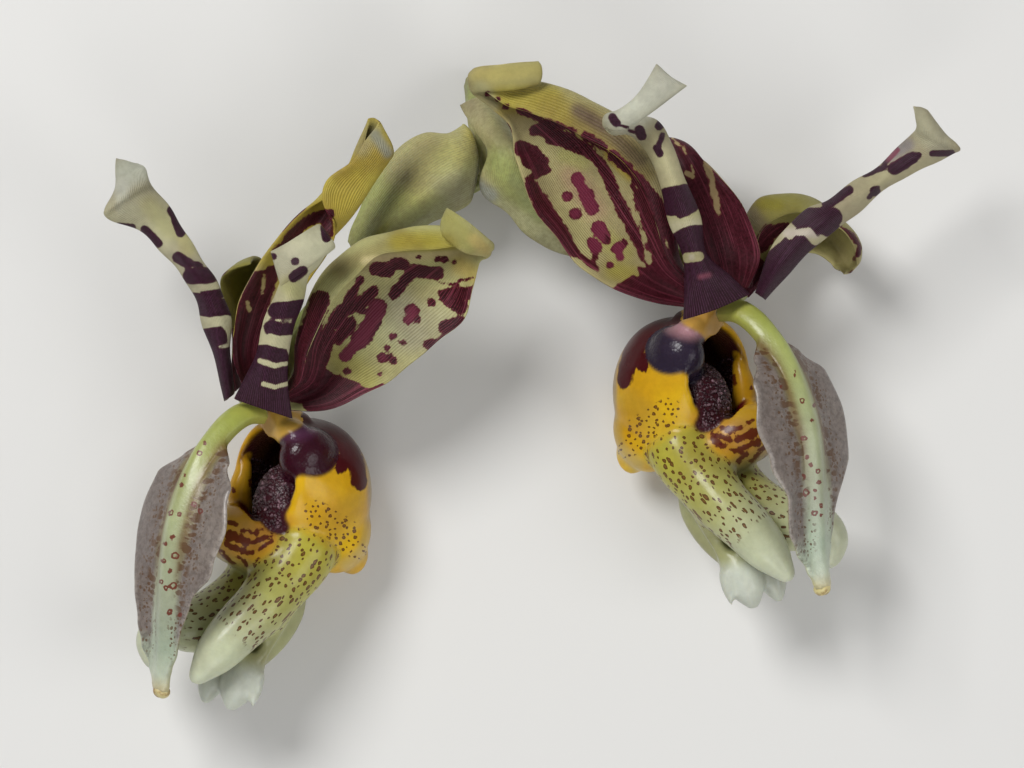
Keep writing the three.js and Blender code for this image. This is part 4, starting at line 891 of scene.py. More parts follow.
def curledBlade(given, u, offset):      # middle points of a blade that bends across its spine
    place = u[:, None]
    spine, _, facing, aside = spineFrames(given["spine"], given["facing"], len(u))
    far = (aside[:, 2:] * offset < 0) * rise(place, 0.62, 0.18) * rise(-place, -1, 0.05)
    width = keyed(given["width"], u)[:, None] * (1 - given.get("farNarrowing", 0) * far)
    turn = np.radians(keyed(given["curl"], u))[:, None]
    turn = np.where(np.abs(turn) < 1e-3, 1e-3, turn)
    bend = turn * np.abs(offset)
    aslant, deep = np.sign(offset) * width * np.sin(bend) / turn, width * (1 - np.cos(bend)) / turn
    middle = spine[:, None] + aside[:, None] * aslant[..., None] + facing[:, None] * deep[..., None]
    ridge = keyed(given["ridge"], u)[:, None] * bell(offset * width, 0, given["ridgeWidth"])
    return middle, facing, width, ridge


column = {
    "spine": [
        [0, -3.4, 0], [3.6, -4.2, 0], [6.4, -6.4, 0], [9, -10, 0], [11.6, -14.6, 0], [13.5, -20, 0],
        [14.2, -28.4, 0], [13.1, -37, 0], [11.2, -45.6, 0], [9.6, -52, 0], [8.3, -60.2, 0],
    ],
    "facing": [0.1, -1, 0],
    "width": [
        [0, 2.4], [0.17, 2.6], [0.25, 7], [0.33, 11.2], [0.46, 13.2], [0.58, 12], [0.7, 9.6],
        [0.8, 9], [0.87, 7.2], [0.93, 4.4], [0.98, 2.6], [1, 1.8],
    ],
    "curl": [[0, 30], [0.2, 8], [0.33, 3], [0.46, 9], [0.58, 3], [0.7, -16], [1, -14]],
    "ridge": [[0, 3], [0.2, 3], [0.4, 1.8], [1, 1.6]],
    "ridgeTints": [
        [0, "#9c9540"], [0.12, "#969a46"], [0.3, "#9a9f60"], [0.5, "#a0a67e"], [0.72, "#9fa58c"],
        [0.86, "#a6b49c"], [0.95, "#b8c0aa"], [1, "#c0b48a"],
    ],
    "ridgeWidth": 2.8, "halfThickness": 0.45, "margin": 1.0, "along": 170, "across": 90,
    "farNarrowing": 0.48,      # of the wing away from the viewer, towards its tip
    "wave": 0.5, "waveSize": 11.0, "seed": 31,
    "wing": "#7a6f68", "wingEdge": "#958c84", "mottle": "#51463f", "channel": "#6a4e28",
    "inside": "#a39a58", "spot": "#573818", "ring": "#66220f",
    # bands along the ridge: mm away from it and mm wide
    "wingFrom": (3.2, 1.6), "wingEdgeFrom": (-1.2, 1.2), "channelAt": (3.4, 1.1),
    "dotsAt": (6.5, 3.2), "spotsAt": (4.6, 1.7), "tipDotsAt": (4.8, 3.2),
    "channelShare": 0.85, "insideShare": 0.4,
    "shader": {
        "Subsurface Weight": 0.15, "Subsurface Radius": (1.0, 0.8, 0.5),
        "Subsurface Scale": 0.0015, "Coat Weight": 0.25, "Coat Roughness": 0.22,
    },
    "rings": {
        "left": [
            (-61.4, -11.8, 0.36), (-62.5, -13.8, 0.52), (-68.2, -25.8, 0.52), (-66.6, -26, 0.52),
            (-67.9, -30.6, 0.52), (-69.3, -32, 0.44), (-67.4, -34.4, 0.72), (-69.7, -35.4, 0.44),
            (-68.5, -37.4, 0.44), (-67.7, -40.3, 0.72), (-70.2, -39.6, 0.4), (-69.2, -40.8, 0.48),
            (-68.4, -45.6, 0.52), (-66.4, -46.2, 0.36), (-65.4, -18.2, 0.32), (-66, -20.2, 0.36),
            (-63.6, -24, 0.48), (-62.4, -25.4, 0.44),
        ],
        "right": [
            (58.1, -3.4, 0.48), (60, -7.4, 0.36), (58.3, -10.8, 0.56), (59, -14.6, 0.52),
            (59.6, -16.2, 0.44), (58.4, -18.4, 0.44), (61.2, -17.4, 0.4), (61.4, -19.6, 0.4),
            (58.8, -21.8, 0.68), (60.7, -21.2, 0.32), (60.6, -22.8, 0.32), (61.8, -24.3, 0.36),
            (60.6, -25.8, 0.56), (61.8, -26.2, 0.32), (53.8, -0.6, 0.32), (56.6, 2.6, 0.24),
            (56.6, 1.6, 0.24), (60.4, -4.2, 0.32),
        ],
    },
}


def makeColumnMaterial(given):
    material, tree, shader, place = startMaterial("columnFlesh", given["shader"])
    wing = attributeOf(tree, "wing")
    mottle = ramp(tree, noiseOf(tree, place, 900.0, 5.0, 0.7), 0.4, 0.65)
    mottle = calc(tree, "MULTIPLY", calc(tree, "MULTIPLY", mottle, wing), 0.6)
    ground = mixed(tree, mottle, tintOf(tree, place, 0.3), given["mottle"])
    fine = useGroup(tree, specks, {"Vector": place, "Scale": 1500.0, "Size": 0.42, "Cover": 0.5})
    flat = addNode(tree, "ShaderNodeMapping", {"Vector": place, "Scale": (0.7, 1.5, 1.0)})
    wide = useGroup(tree, specks, {
        "Vector": flat.outputs[0], "Scale": 560.0, "Size": 0.55, "Cover": 0.8})
    dotted = ramp(tree, attributeOf(tree, "dotted"), 0.05, 0.7)
    spotted = ramp(tree, attributeOf(tree, "spotted"), 0.15, 0.75)
    spots = calc(tree, "MAXIMUM", calc(tree, "MULTIPLY", fine["Mask"], dotted),
                 calc(tree, "MULTIPLY", wide["Mask"], spotted))
    spots = calc(tree, "MULTIPLY", spots, 0.85)
    colour = mixed(tree, spots, ground, given["spot"])
    wander = calc(tree, "SUBTRACT", noiseOf(tree, place, 1000.0), 0.5)
    reach = calc(tree, "MULTIPLY_ADD", wander, 1.1, attributeOf(tree, "rings"))
    outline = ramp(tree, calc(tree, "ABSOLUTE", calc(tree, "SUBTRACT", reach, 0.12)), 0.26, 0.14)
    colour = mixed(tree, calc(tree, "MULTIPLY", outline, 0.95), colour, given["ring"])
    grain = noiseOf(tree, place, 1600.0, 3.0, 0.6)
    folds = calc(tree, "MULTIPLY", noiseOf(tree, place, 420.0, 4.0, 0.6), wing)
    finishMaterial(tree, shader, colour, calc(tree, "MULTIPLY_ADD", grain, 0.2, 0.28),
                   calc(tree, "MULTIPLY_ADD", folds, 2.5, grain), 0.45)
    return material


def columnPiece(side, given, material):
    u = np.linspace(0, 1, given["along"])
    offset = 2 * spreadPlaces(given["across"]) - 1
    offset = np.sign(offset) * np.abs(offset) ** 1.25
    place, tip = u[:, None], -u[:, None]
    middle, facing, width, ridge = curledBlade(given, u, offset)
    away = np.abs(offset) * width
    wing = rise(away, *given["wingFrom"])
    free = rise(place, 0.2, 0.1) * rise(tip, -0.9, 0.1) * wing
    wave = ripple(middle, given["waveSize"], given["seed"]) * given["wave"] * free
    middle = middle + facing[:, None] * wave[..., None]
    half = given["halfThickness"] * marginTaper(middle, given["margin"])
    points, faces, outward = bladeSheets(middle, half, ridge)

    back = np.ones(middle.shape[:2] + (4,))
    back[..., :3] = tintsAlong(given["ridgeTints"], place)
    wingColour = np.ones_like(back)
    wingColour[..., :3] = linear(given["wing"])
    layOver(wingColour, rise(away - width, *given["wingEdgeFrom"]), given["wingEdge"])
    share = wing * rise(tip, -0.9, 0.08)
    back += (wingColour - back) * share[..., None]
    groove = bell(away, *given["channelAt"]) * rise(place, 0.1, 0.1) * rise(tip, -0.72, 0.2)
    layOver(back, groove * given["channelShare"], given["channel"])
    front = back.copy()
    layOver(front, np.full(front.shape[:2], given["insideShare"]), given["inside"])

    (dots, dotsWide), (tipDots, tipDotsWide) = given["dotsAt"], given["tipDotsAt"]
    dotted = rise(-np.abs(away - dots), -dotsWide, dotsWide)
    dotted = dotted * rise(place, 0.2, 0.1) * rise(tip, -0.88, 0.1)
    nearTip = np.clip(1.3 - np.abs(away - tipDots) / tipDotsWide, 0, 1) * bell(place, 0.82, 0.08)
    spotted = bell(away, *given["spotsAt"]) * rise(place, 0.16, 0.06) * rise(tip, -0.8, 0.12)
    points = outOfFlower(points, side)
    up = (outward @ innerFrame(side))[:, 2] > 0
    rings = nearness(seenFromAbove(points), given["rings"][side])
    double = lambda field: np.tile(field.ravel(), 2)
    fields = {
        "tint": np.vstack([front.reshape(-1, 4), back.reshape(-1, 4)]), "wing": double(wing),
        "dotted": double(np.maximum(dotted, nearTip)), "spotted": double(spotted),
        "rings": np.where(up, rings, noMark),
    }
    piece = makePiece(f"{side}_column", points, faces, sheetPlaces(u, (1 + offset) / 2), fields)
    finishPiece(piece, material, f"{side}_column")


antherCap = {
    "at": [8.5, -60.4, 0], "radius": [1.7, 1.45, 1.7], "pale": "#c9bb84", "brown": "#8c6432",
    "crease": 0.13, "creaseWidth": 0.16, "beak": 0.1,
}


def closedRings(rings):      # points and faces of a body through a stack of rings
    count, sides = rings.shape[:2]
    points = np.vstack([rings.reshape(-1, 3), rings[0].mean(0), rings[-1].mean(0)])
    j = np.arange(sides)
    after, first, last = (j + 1) % sides, np.full(sides, count * sides), (count - 1) * sides
    faces = []
    for k in range(0, last, sides):
        faces += np.stack([k + j, k + after, k + sides + after, k + sides + j], 1).tolist()
    faces += np.stack([first, after, j], 1).tolist()
    faces += np.stack([first + 1, last + j, last + after], 1).tolist()
    return points, facingOut(points, faces)


def ballRings(at, radius, sides=40, rings=28):
    angle = np.linspace(0.02, math.pi - 0.02, rings)[:, None]
    turn = np.linspace(0, 2 * math.pi, sides, endpoint=False)[None]
    ways = (np.cos(angle) * np.ones_like(turn), np.sin(angle) * np.cos(turn),
            np.sin(angle) * np.sin(turn))
    return np.stack(ways, -1) * np.array(radius) + np.array(at)


def makeAntherMaterial(given):
    material, tree, shader, place = startMaterial("antherWax")
    share = ramp(tree, noiseOf(tree, place, 700.0, 3.0), 0.45, 0.65)
    colour = mixed(tree, calc(tree, "MULTIPLY", share, 0.7), given["pale"], given["brown"])
    colour = useGroup(tree, softTint, {"Colour": colour, "Vector": place})["Colour"]
    grain = noiseOf(tree, place, 2200.0, 3.0)
    finishMaterial(tree, shader, colour, calc(tree, "MULTIPLY_ADD", grain, 0.25, 0.25), grain)
    return material


def antherPiece(side, given, material):      # a ball with a crease below and a small beak
    ways = ballRings([0, 0, 0], [1, 1, 1], 48, 36)
    below = np.clip(0.3 - ways[..., 1], 0, 1)
    crease = 1 - given["crease"] * bell(ways[..., 2], 0, given["creaseWidth"]) * below
    beak = 1 + given["beak"] * np.clip(ways[..., 0], 0, 1) ** 4
    rings = ways * np.array(given["radius"]) * (crease * beak)[..., None] + np.array(given["at"])
    points, faces = closedRings(rings)
    piece = makePiece(f"{side}_anther_cap", outOfFlower(points, side), faces)
    finishPiece(piece, material, f"{side}_anther_cap")


columnMaterial, antherMaterial = makeColumnMaterial(column), makeAntherMaterial(antherCap)
for side in ("left", "right"):
    columnPiece(side, column, columnMaterial)
    antherPiece(side, antherCap, antherMaterial)


# sac rings from the back to the mouth: forward, height, half height, half width, lean of the
# top; balls as place and radii
lip = {
    "outside": [
        [-29.4, -17.4, 3.4, 3.2, 0], [-28.2, -17.4, 8, 7, 0], [-25.6, -17, 12, 10.4, 0],
        [-21.4, -16.4, 14.6, 12.4, 0], [-16.4, -15.8, 15, 12.8, 0], [-11, -15.2, 13.6, 12, 0.06],
        [-7, -14.4, 11.8, 10.8, 0.12], [-5.4, -14.2, 10.6, 9.8, 0.15],
    ],
    "inside": [
        [-24.4, -17, 3.4, 3, 0], [-22.6, -16.8, 8.4, 7.4, 0], [-19, -16, 11.6, 10, 0],
        [-14, -15.6, 12, 10.6, 0.06], [-9, -14.8, 10.8, 9.4, 0.12], [-5.8, -14.2, 9.6, 8.6, 0.15],
        [-2, -14, 9.8, 9, 0.15],
    ],
    "heel": ([-23.4, -22.4, 5], [6.8, 8.4, 6.6]),
    "heelTip": ([-28.6, -26.4, 5.4], [3.0, 4.0, 3.2]),
    "bean": ([-9.6, -8.8, 6.4], [6.4, 6.0, 4.8]),
    "bulb": ([-10.2, -19, 1.8], [5.8, 8.2, 6.0]),
    "shoulder": ([-6.4, -4.8, 3.6], [3.4, 3.0, 4.2]),
    "bridge": ([-10.6, -28.6, 0], [8.2, 6.2, 8]),
    "apron": ([-7.0, -27.0, -4.0], [8.0, 6.6, 8.6]),
    "claw": {"spine": [[-3.2, -4, 0], [-6.4, -3, 0], [-11, -4, 0]], "radius": [2.8, 3.2, 4]},
    "horns": [
        {
            "spine": [
                [-16.3, -22.2, 5.9], [-14.1, -28.4, 5.7], [-10.7, -34.5, 5.5], [-7.1, -39.5, 6],
                [-2.8, -45.6, 4.9], [0.2, -51.4, 3.5], [2.7, -57.8, 1.6],
            ],
            "radius": [6.6, 6.9, 6.3, 5.7, 5.2, 4.2, 1.5],
        },
        {
            "spine": [
                [-16.8, -22, -6.4], [-15.6, -28.7, -6.3], [-13.2, -35.8, -5.1], [-8.9, -42.3, -5.6],
                [-3.8, -46.4, -7.7], [0.9, -48.4, -11.3], [2.6, -51.5, -12.7], [2.6, -54.7, -12.1],
                [1.7, -57.4, -10.7],
            ],
            "radius": [7, 6.8, 6.2, 6.2, 6.4, 6, 5, 3.6, 1.4],
        },
    ],
    "farRim": {
        "spine": [[-7.2, -11.9, -8.5], [-7, -15.6, -8.6], [-7.4, -19.6, -8.5], [-9.5, -23.6, -7.8]],
        "radius": [1.2, 2.1, 2.5, 2.2], "shade": "#bb8c1a",
    },
    "keel": {
        "spine": [
            [-19.5, -34, 1], [-18.6, -39.5, 1], [-16.6, -45, 1], [-13.2, -49.8, 1], [-9, -53, 1],
        ],
        "radius": [2.2, 3.4, 3.3, 2.8, 2.4],
    },
    "frontLobe": {
        "spine": [[-20, -28, 0], [-17.4, -36, 0], [-14, -43.4, 0], [-11.4, -50, 0], [-9.9, -57, 0]],
        "facing": [1, 0.3, 0],
        "width": [[0, 7], [0.3, 9], [0.55, 8.4], [0.75, 6.6], [0.9, 5.4], [1, 4.8]],
        "curl": [[0, 40], [0.5, 40], [1, 20]], "halfThickness": 1.1,
        "ridge": [[0, 2], [0.5, 1.6], [1, 0.2]], "ridgeWidth": 5, "along": 90, "across": 50,
    },
    "teeth": [
        {
            "spine": [
                [-10.4, -49.6, 2.6], [-9.4, -53.5, 2.5], [-8.6, -57.2, 2.4], [-8.2, -60.2, 2.4],
                [-8, -61.9, 2.4],
            ],
            "radius": [3.2, 3.8, 3.9, 3.1, 1],
        },
        {
            "spine": [
                [-9.2, -50.5, -4.2], [-8, -54.5, -4.1], [-7.2, -58, -4], [-6.8, -60.6, -4],
                [-6.7, -62, -4],
            ],
            "radius": [2.6, 2.9, 3, 2.4, 0.8],
        },
        {"spine": [[-10.4, -53, 5.6], [-10.2, -57, 6.2], [-10, -60.6, 6.8]],
         "radius": [1.7, 1.5, 0.4]},
    ],
    "hornTints": [
        [0, "#a39634"], [0.2, "#a29a3e"], [0.45, "#a4a25a"], [0.7, "#b4b896"], [1, "#c2c6ae"],
    ],
    # the keel's colour is its own pale green-grey with some painted shade of its shadowed side in
    # it
    "voxel": 0.5, "flesh": "#cea116", "keelColourAndShadow": "#98986c", "tooth": "#bcc0b2",
    "cavity": "#3e161e", "clawShade": "#c49a48", "redCorner": "#6a1710", "spot": "#4e240c",
    "spotCore": "#8a6030", "blotch": "#561310", "eyeShade": "#40040c", "rimShade": "#a08a60",
    "meanRadius": 5.5,      # of a horn, for the spacing of the spots round it
    # where colours begin or end along the lip, and how far down, in the flower's frame
    "frontFrom": (-14, -8), "clawFrom": (-10, -7.5), "cavityFrom": (-25.5, -24),
    "cavityTo": (4.2, 6.2), "cornerFrom": (-13, -7), "cornerBelow": (19, 23),
    "keelFrom": (30, 35), "teethFrom": (50, 54), "beanPaleFrom": (-9.8, -7.0),
    "shader": {
        "Subsurface Weight": 0.15, "Subsurface Radius": (1.0, 0.7, 0.35),
        "Subsurface Scale": 0.002, "Specular IOR Level": 0.22, "Coat Weight": 0.12,
        "Coat Roughness": 0.15,
    },
    # soft colour patches and blotches on the side and on the front, as the right flower shows
    # them: places are mm right and mm up from the middle of the flower
    "sidePatches": [
        (-21.7, -10.8, -21.8, -23.6, 0.6, "#b8a080"), (-21.6, -23.6, -20, -30, 1.04, "#bb9a3e"),
        (-20.4, -30, -16.8, -32.8, 1.44, "#c2a452"), (-18.4, -20.4, -12.4, -26, 2.4, "#c29a28"),
        (-11.2, -2, -8.6, -1.6, 0.64, "#b5a68c"),
    ],
    "frontPatches": [
        (3.6, -10.8, 5.4, -22, 2, "#c0901e"), (-5.2, -23.6, 3.6, -25.6, 1.36, "#cf9c2c"),
        (3.6, -26, 10, -32.4, 2.8, "#b58c40"), (-2, -26, 3.6, -29.2, 2.4, "#bd8c34"),
    ],
    "blotches": [
        (-3, -25.6, -2, -26.8, 0.4), (-2, -27.6, 0.4, -29.4, 0.52), (-1, -27, 1.6, -28, 0.64),
        (1.2, -26.2, 3.6, -25.6, 0.56), (3.2, -27.8, 6.4, -26.6, 0.96),
        (3.6, -29.6, 7.2, -28.4, 0.72), (1.8, -30, 4, -30.2, 0.48), (6, -32.2, 7.6, -30.6, 0.52),
        (9, -32, 0.56), (3.2, -32.4, 4.8, -30.8, 0.4), (-0.4, -25.3, 1.2, -25.6, 0.36),
        (5, -24.5, 6.4, -24, 0.36), (7.6, -30, 8.8, -29.6, 0.48), (2.5, -15.2, 2.8, -16.8, 0.56),
        (6.1, -17.6, 0.4), (0.4, -31.2, 1.6, -32.4, 0.32), (8.4, -33.2, 9.6, -32.8, 0.32),
    ],
    "eye": [
        (-11, -4.6, -13.9, -8, 1.68), (-14.2, -10, -16.2, -12.8, 1.44),
        (-10, -3.2, -14.8, -5.6, 2.24), (-14.8, -5.6, -18, -10.8, 2.48),
        (-18.4, -10.8, -19.3, -15.6, 1.76), (-19.4, -15.6, -19.2, -16.8, 1.04),
    ],
    "paleRim": [
        (-8.6, -1.4, -12.4, -2, 0.64), (-12.4, -2, -17.2, -5, 0.72), (-17.2, -5, -20.4, -9.2, 0.8),
        (-20.4, -9.2, -21.8, -14.8, -22, -23.6, 0.88),
    ],
    "spotZones": [
        (-16.4, -26, -10.8, -22.4, 2.4), (-18.8, -30, -15.2, -27.2, 1.44),
        (-2, -26, -0.4, -28.4, 0.48),
    ],
}

darkLobe = {      # the left one melts into the maroon round it; the right one's dark violet holds a painted violet-blue sheen
    "left": {"beanTintAndSheen": "#300a18", "beanPale": "#5a3550"},
    "right": {"beanTintAndSheen": "#2a2030", "beanPale": "#b98a90"},
}


def roundOff(distance, reach):
    near = np.minimum(distance / reach, 1) if reach else 1.0
    return np.sqrt(np.clip(1 - (1 - near) ** 2, 0, 1))


def tubeRings(spine, radius, roundStart=0.0, roundEnd=0.0, rings=70, sides=44):
    even = np.linspace(0, 1, 400)
    middle, _, facing, aside = spineFrames(spine, [0, 0, 1], len(even))
    u = (1 - np.cos(np.linspace(0, math.pi, rings))) / 2
    middle, facing, aside = (np.stack([np.interp(u, even, way) for way in field.T], 1)[:, None]
                             for field in (middle, facing, aside))
    r = np.maximum(keyed(radius, u) * roundOff(u, roundStart) * roundOff(1 - u, roundEnd), 0.3)
    angle = np.linspace(0, 2 * math.pi, sides, endpoint=False)
    along, across = r[:, None] * np.cos(angle), r[:, None] * np.sin(angle)
    return middle + aside * along[..., None] + facing * across[..., None]


def sacRings(keys, rings=60, sides=90):
    shares = smoothWeights(len(keys), np.linspace(0, 1, rings))
    forward, height, tall, wide, lean = (shares @ np.array(keys, float)).T[..., None]
    angle = np.linspace(0, 2 * math.pi, sides, endpoint=False)
    up = tall * np.cos(angle)
    return np.stack([forward + lean * up, height + up, wide * np.sin(angle)], -1)


def together(parts):      # points and faces of several bodies as one
    faces, low = [], 0
    for some, their in parts:
        faces += [[k + low for k in face] for face in their]
        low += len(some)
    return np.vstack([some for some, _ in parts]), faces


def tube(given, *roundings):
    return closedRings(tubeRings(given["spine"], given["radius"], *roundings))


def ball(place, radius):
    return closedRings(ballRings(place, radius))


def settled(piece):      # gives a piece the mesh that its modifiers make, and removes them
    bpy.context.view_layer.update()
    graph = bpy.context.evaluated_depsgraph_get()
    mesh = bpy.data.meshes.new_from_object(piece.evaluated_get(graph))
    piece.modifiers.clear()
    old, piece.data = piece.data, mesh
    bpy.data.meshes.remove(old)


def worked(name, parts, *steps):      # several closed bodies as one mesh, in mm, then modified
    piece = makePiece(name, *together(parts), ready=False)
    for kind, settings in steps:
        modifier = piece.modifiers.new(kind.lower(), kind)
        for key, value in settings.items():
            setattr(modifier, key, value)
    settled(piece)
    return piece


def pointsAndFaces(piece):
    mesh = piece.data
    points = np.zeros(len(mesh.vertices) * 3, np.float32)
    mesh.vertices.foreach_get("co", points)
    return points.reshape(-1, 3).astype(float), [list(face.vertices) for face in mesh.polygons]


def lipBody(given):      # one body in the flower's frame, used for both flowers
    lobe = given["frontLobe"]
    places = np.linspace(0, 1, lobe["along"]), np.linspace(-1, 1, lobe["across"])
    middle, _, _, ridge = curledBlade(lobe, *places)
    lobeSheets = bladeSheets(middle, np.full(middle.shape[:2], lobe["halfThickness"]), ridge)[:2]
    remesh = "REMESH", {"mode": "VOXEL", "voxel_size": given["voxel"]}
    heelPlace, heelRadius = given["heel"]
    balls = (given["bridge"], given["apron"], given["heelTip"], given["heel"],
             (np.array(heelPlace) * [1, 1, -1], heelRadius))
    tubes = [tube(horn, 0.1, 0.03) for horn in given["horns"]] + [tube(given["keel"], 0.1, 0.1)]
    body = worked("lipBody", [closedRings(sacRings(given["outside"])), lobeSheets] + tubes
                  + [tube(tooth) for tooth in given["teeth"]] + [ball(*one) for one in balls],
                  remesh, ("SMOOTH", {"factor": 0.5, "iterations": 8}))
    hollow = worked("hollow", [closedRings(sacRings(given["inside"]))])
    cut = body.modifiers.new("boolean", "BOOLEAN")
    cut.object, cut.operation, cut.solver = hollow, "DIFFERENCE", "EXACT"
    settled(body)
    rim = worked("rim", [tube(given["claw"]), tube(given["farRim"], 0.1, 0.1)]
                 + [ball(*given[key]) for key in ("bean", "bulb", "shoulder")])
    whole = worked("lipWhole", [pointsAndFaces(body), pointsAndFaces(rim)],
                   remesh, ("SMOOTH", {"factor": 0.5, "iterations": 11}))
    made = pointsAndFaces(whole)
    for piece in (body, hollow, rim, whole):
        bpy.data.objects.remove(piece)
    return made


def tubeReach(points, given):      # distance to the surface of a tube and the place along it
    curve = spineFrames(given["spine"], [0, 0, 1], spineSteps)[0]
    radii = keyed(given["radius"], np.linspace(0, 1, spineSteps))
    gap = np.linalg.norm(points[:, None] - curve[None], axis=2)
    near = (gap - radii).argmin(1)
    return gap[np.arange(len(points)), near] - radii[near], near


# how far a horn's skin is, the share of its length, and mm along and round it
def unrolled(points, horn, radius):
    curve, tangent, facing, aside = spineFrames(horn["spine"], [0, 0, 1], spineSteps)
    aside = aside * np.sign(aside[0, 0])
    reach, near = tubeReach(points, horn)
    off = points - curve[near]
    turn = np.arctan2((off * facing[near]).sum(1), (off * aside[near]).sum(1))
    along = runAlong(curve)[near] + (off * tangent[near]).sum(1)
    return reach, near / (spineSteps - 1), along, turn * radius


def ballReach(points, place, radius):
    away = np.linalg.norm((points - np.array(place)) / np.array(radius), axis=1)
    return (away - 1) * min(radius)


# where forward, up and to the side point in the photograph of the right flower
lipView = np.array([(0.705, 0.163), (-0.2256, 0.974), (-0.672, -0.156)])


def lipFields(points, given):
    x, y, z = points.T
    side, front = np.stack([x, y, np.abs(z)], 1) @ lipView, points @ lipView
    rim = nearness(side, given["paleRim"])
    tint = shaded(side, given["flesh"], given["sidePatches"])
    frontTint = shaded(front, given["flesh"], given["frontPatches"])
    tint += (frontTint - tint) * step(x, *given["frontFrom"])[:, None]
    layOver(tint, step(rim, -0.5, 0.5), given["rimShade"])
    keel = step(-y, *given["keelFrom"])
    # lays the keel's colour, which holds some painted shade
    layOver(tint, keel, given["keelColourAndShadow"])

    horns = [unrolled(points, horn, given["meanRadius"]) for horn in given["horns"]]
    nearer = horns[1][0] < horns[0][0]
    reach, place, run, arc = (np.where(nearer, far, near) for near, far in zip(*horns))
    horn = step(-reach, -1.4, 0.2) * step(place, 0.02, 0.12)
    tint[:, :3] += (tintsAlong(given["hornTints"], place) - tint[:, :3]) * horn[:, None]
    tooth = np.max([-tubeReach(points, one)[0] for one in given["teeth"]], axis=0)
    tooth = step(tooth, -1.2, 0.0) * step(-y, *given["teethFrom"]) * (1 - horn)
    layOver(tint, tooth, given["tooth"])

    threads = ripple(np.stack([side[:, 0] * 3.2, side[:, 1] * 0.5, 0 * x], 1), 2.2, 9) * 0.3
    eye = np.minimum(nearness(side, given["eye"]) + threads, -rim)
    layOver(tint, step(eye, 0.3, 1.0), given["eyeShade"])
    claw = np.minimum(tubeReach(points, given["claw"])[0], ballReach(points, *given["shoulder"]))
    claw = step(-claw, -1.5, 0.0) * step(x, *given["clawFrom"])
    layOver(tint, claw, given["clawShade"])

    inner = np.array(given["inside"], float)
    height, tall, wide = (np.interp(x, inner[:, 0], inner[:, k]) for k in (1, 2, 3))
    ring = np.sqrt(((y - height) / tall) ** 2 + (z / wide) ** 2)
    cavity = step(-ring, -1.1, -1.0) * step(x, *given["cavityFrom"]) * step(-x, *given["cavityTo"])
    layOver(tint, cavity, given["cavity"])
    corner = step(-y, *given["cornerBelow"]) * step(x, *given["cornerFrom"])
    layOver(tint, cavity * corner, given["redCorner"])
    farRim = step(-tubeReach(points, given["farRim"])[0], -0.5, 0.1)
    layOver(tint, farRim, given["farRim"]["shade"])
    bulb = step(-ballReach(points, *given["bulb"]), -1.0, -0.5)
    layOver(tint, bulb, given["cavity"])
    bean = step(-ballReach(points, *given["bean"]), -0.95, -0.4)
    # the bean's dark colour; on the right bean it holds a painted sheen
    layOver(tint, bean, given["beanTintAndSheen"])
    layOver(tint, bean * step(0.6 * x + y, *given["beanPaleFrom"]) * 0.85, given["beanPale"])

    cavity = np.maximum(cavity * (1 - farRim), bulb)
    spotty = step(nearness(side, given["spotZones"]), -1.5, 1.0) * (1 - keel)
    onHorn = horn * step(place, 0.0, 0.06) * step(-place, -0.78, -0.55)
    spotty = np.maximum(spotty, onHorn) * (1 - cavity) * (1 - bean)
    bare = np.maximum.reduce([cavity, bean, horn]) > 0.5
    unmarked = np.maximum.reduce([cavity, bean - 0.4, horn, claw]) > 0.5
    dots = np.where((horn > 0.4)[:, None], np.stack([run / 1.7, arc, 0 * x], 1),
                    np.stack([side[:, 0] + 200, side[:, 1], 0 * x], 1))
    return {
        "tint": tint, "spotty": spotty, "wet": np.maximum(0.35, bean), "dots": dots * mm,
        "mark": np.where((x > -15) & ~bare, nearness(front, given["blotches"]), noMark),
        "eye": np.where(unmarked, noMark, eye), "dark": np.maximum(cavity, 0.4 * bean),
    }


def makeLipMaterial(given):
    material, tree, shader, place = startMaterial("lipWax", given["shader"])
    dense = useGroup(tree, flatSpecks, {
        "Vector": attributeOf(tree, "dots", "Vector"), "Scale": 860.0, "Size": 0.27, "Cover": 0.96})
    spotty = ramp(tree, attributeOf(tree, "spotty"), 0.25, 0.55)
    spots = calc(tree, "MULTIPLY", dense["Mask"], spotty)
    core = calc(tree, "MULTIPLY", dense["Core"], 0.45)
    brown = mixed(tree, core, given["spot"], given["spotCore"])
    colour = mixed(tree, calc(tree, "MULTIPLY", spots, 0.92), tintOf(tree, place, 0.25), brown)
    mark = useGroup(tree, frayedMark, {
        "Distance": attributeOf(tree, "mark"), "Vector": place, "Fray": 1.6, "Edge": 0.15})
    colour = mixed(tree, calc(tree, "MULTIPLY", mark["Mask"], 0.92), colour, given["blotch"])
    eye = useGroup(tree, frayedMark, {
        "Distance": attributeOf(tree, "eye"), "Vector": place, "Fray": 0.8, "Edge": 0.25})
    colour = mixed(tree, eye["Mask"], colour, given["eyeShade"])
    grain = noiseOf(tree, place, 1300.0, 3.0, 0.6)
    cells = addNode(tree, "ShaderNodeTexVoronoi", {"Vector": place, "Scale": 1500.0}, feature="F1")
    pebbles = calc(tree, "MULTIPLY", cells.outputs["Distance"],
                   calc(tree, "MULTIPLY", attributeOf(tree, "dark"), -1.4))
    swell = calc(tree, "MULTIPLY_ADD", grain, 0.25, noiseOf(tree, place, 240.0, 2.0))
    rough = calc(tree, "MULTIPLY_ADD", attributeOf(tree, "wet"), -0.08, 0.27)
    finishMaterial(tree, shader, colour, calc(tree, "MULTIPLY_ADD", grain, 0.12, rough),
                   calc(tree, "ADD", swell, pebbles), 0.4, 0.0003)
    return material


# the sac's floor and bulb are covered with small dark grains, so many for each square mm
grains = {
    "density": 3.0, "radius": 0.32, "least": 0.5, "most": 1.25, "seed": 7, "below": -12,
    "wallRings": 40, "wallSides": 60, "wallFrom": 6, "wallTo": 32,
    "shade": "#30121a", "sheen": "#80606a",
}


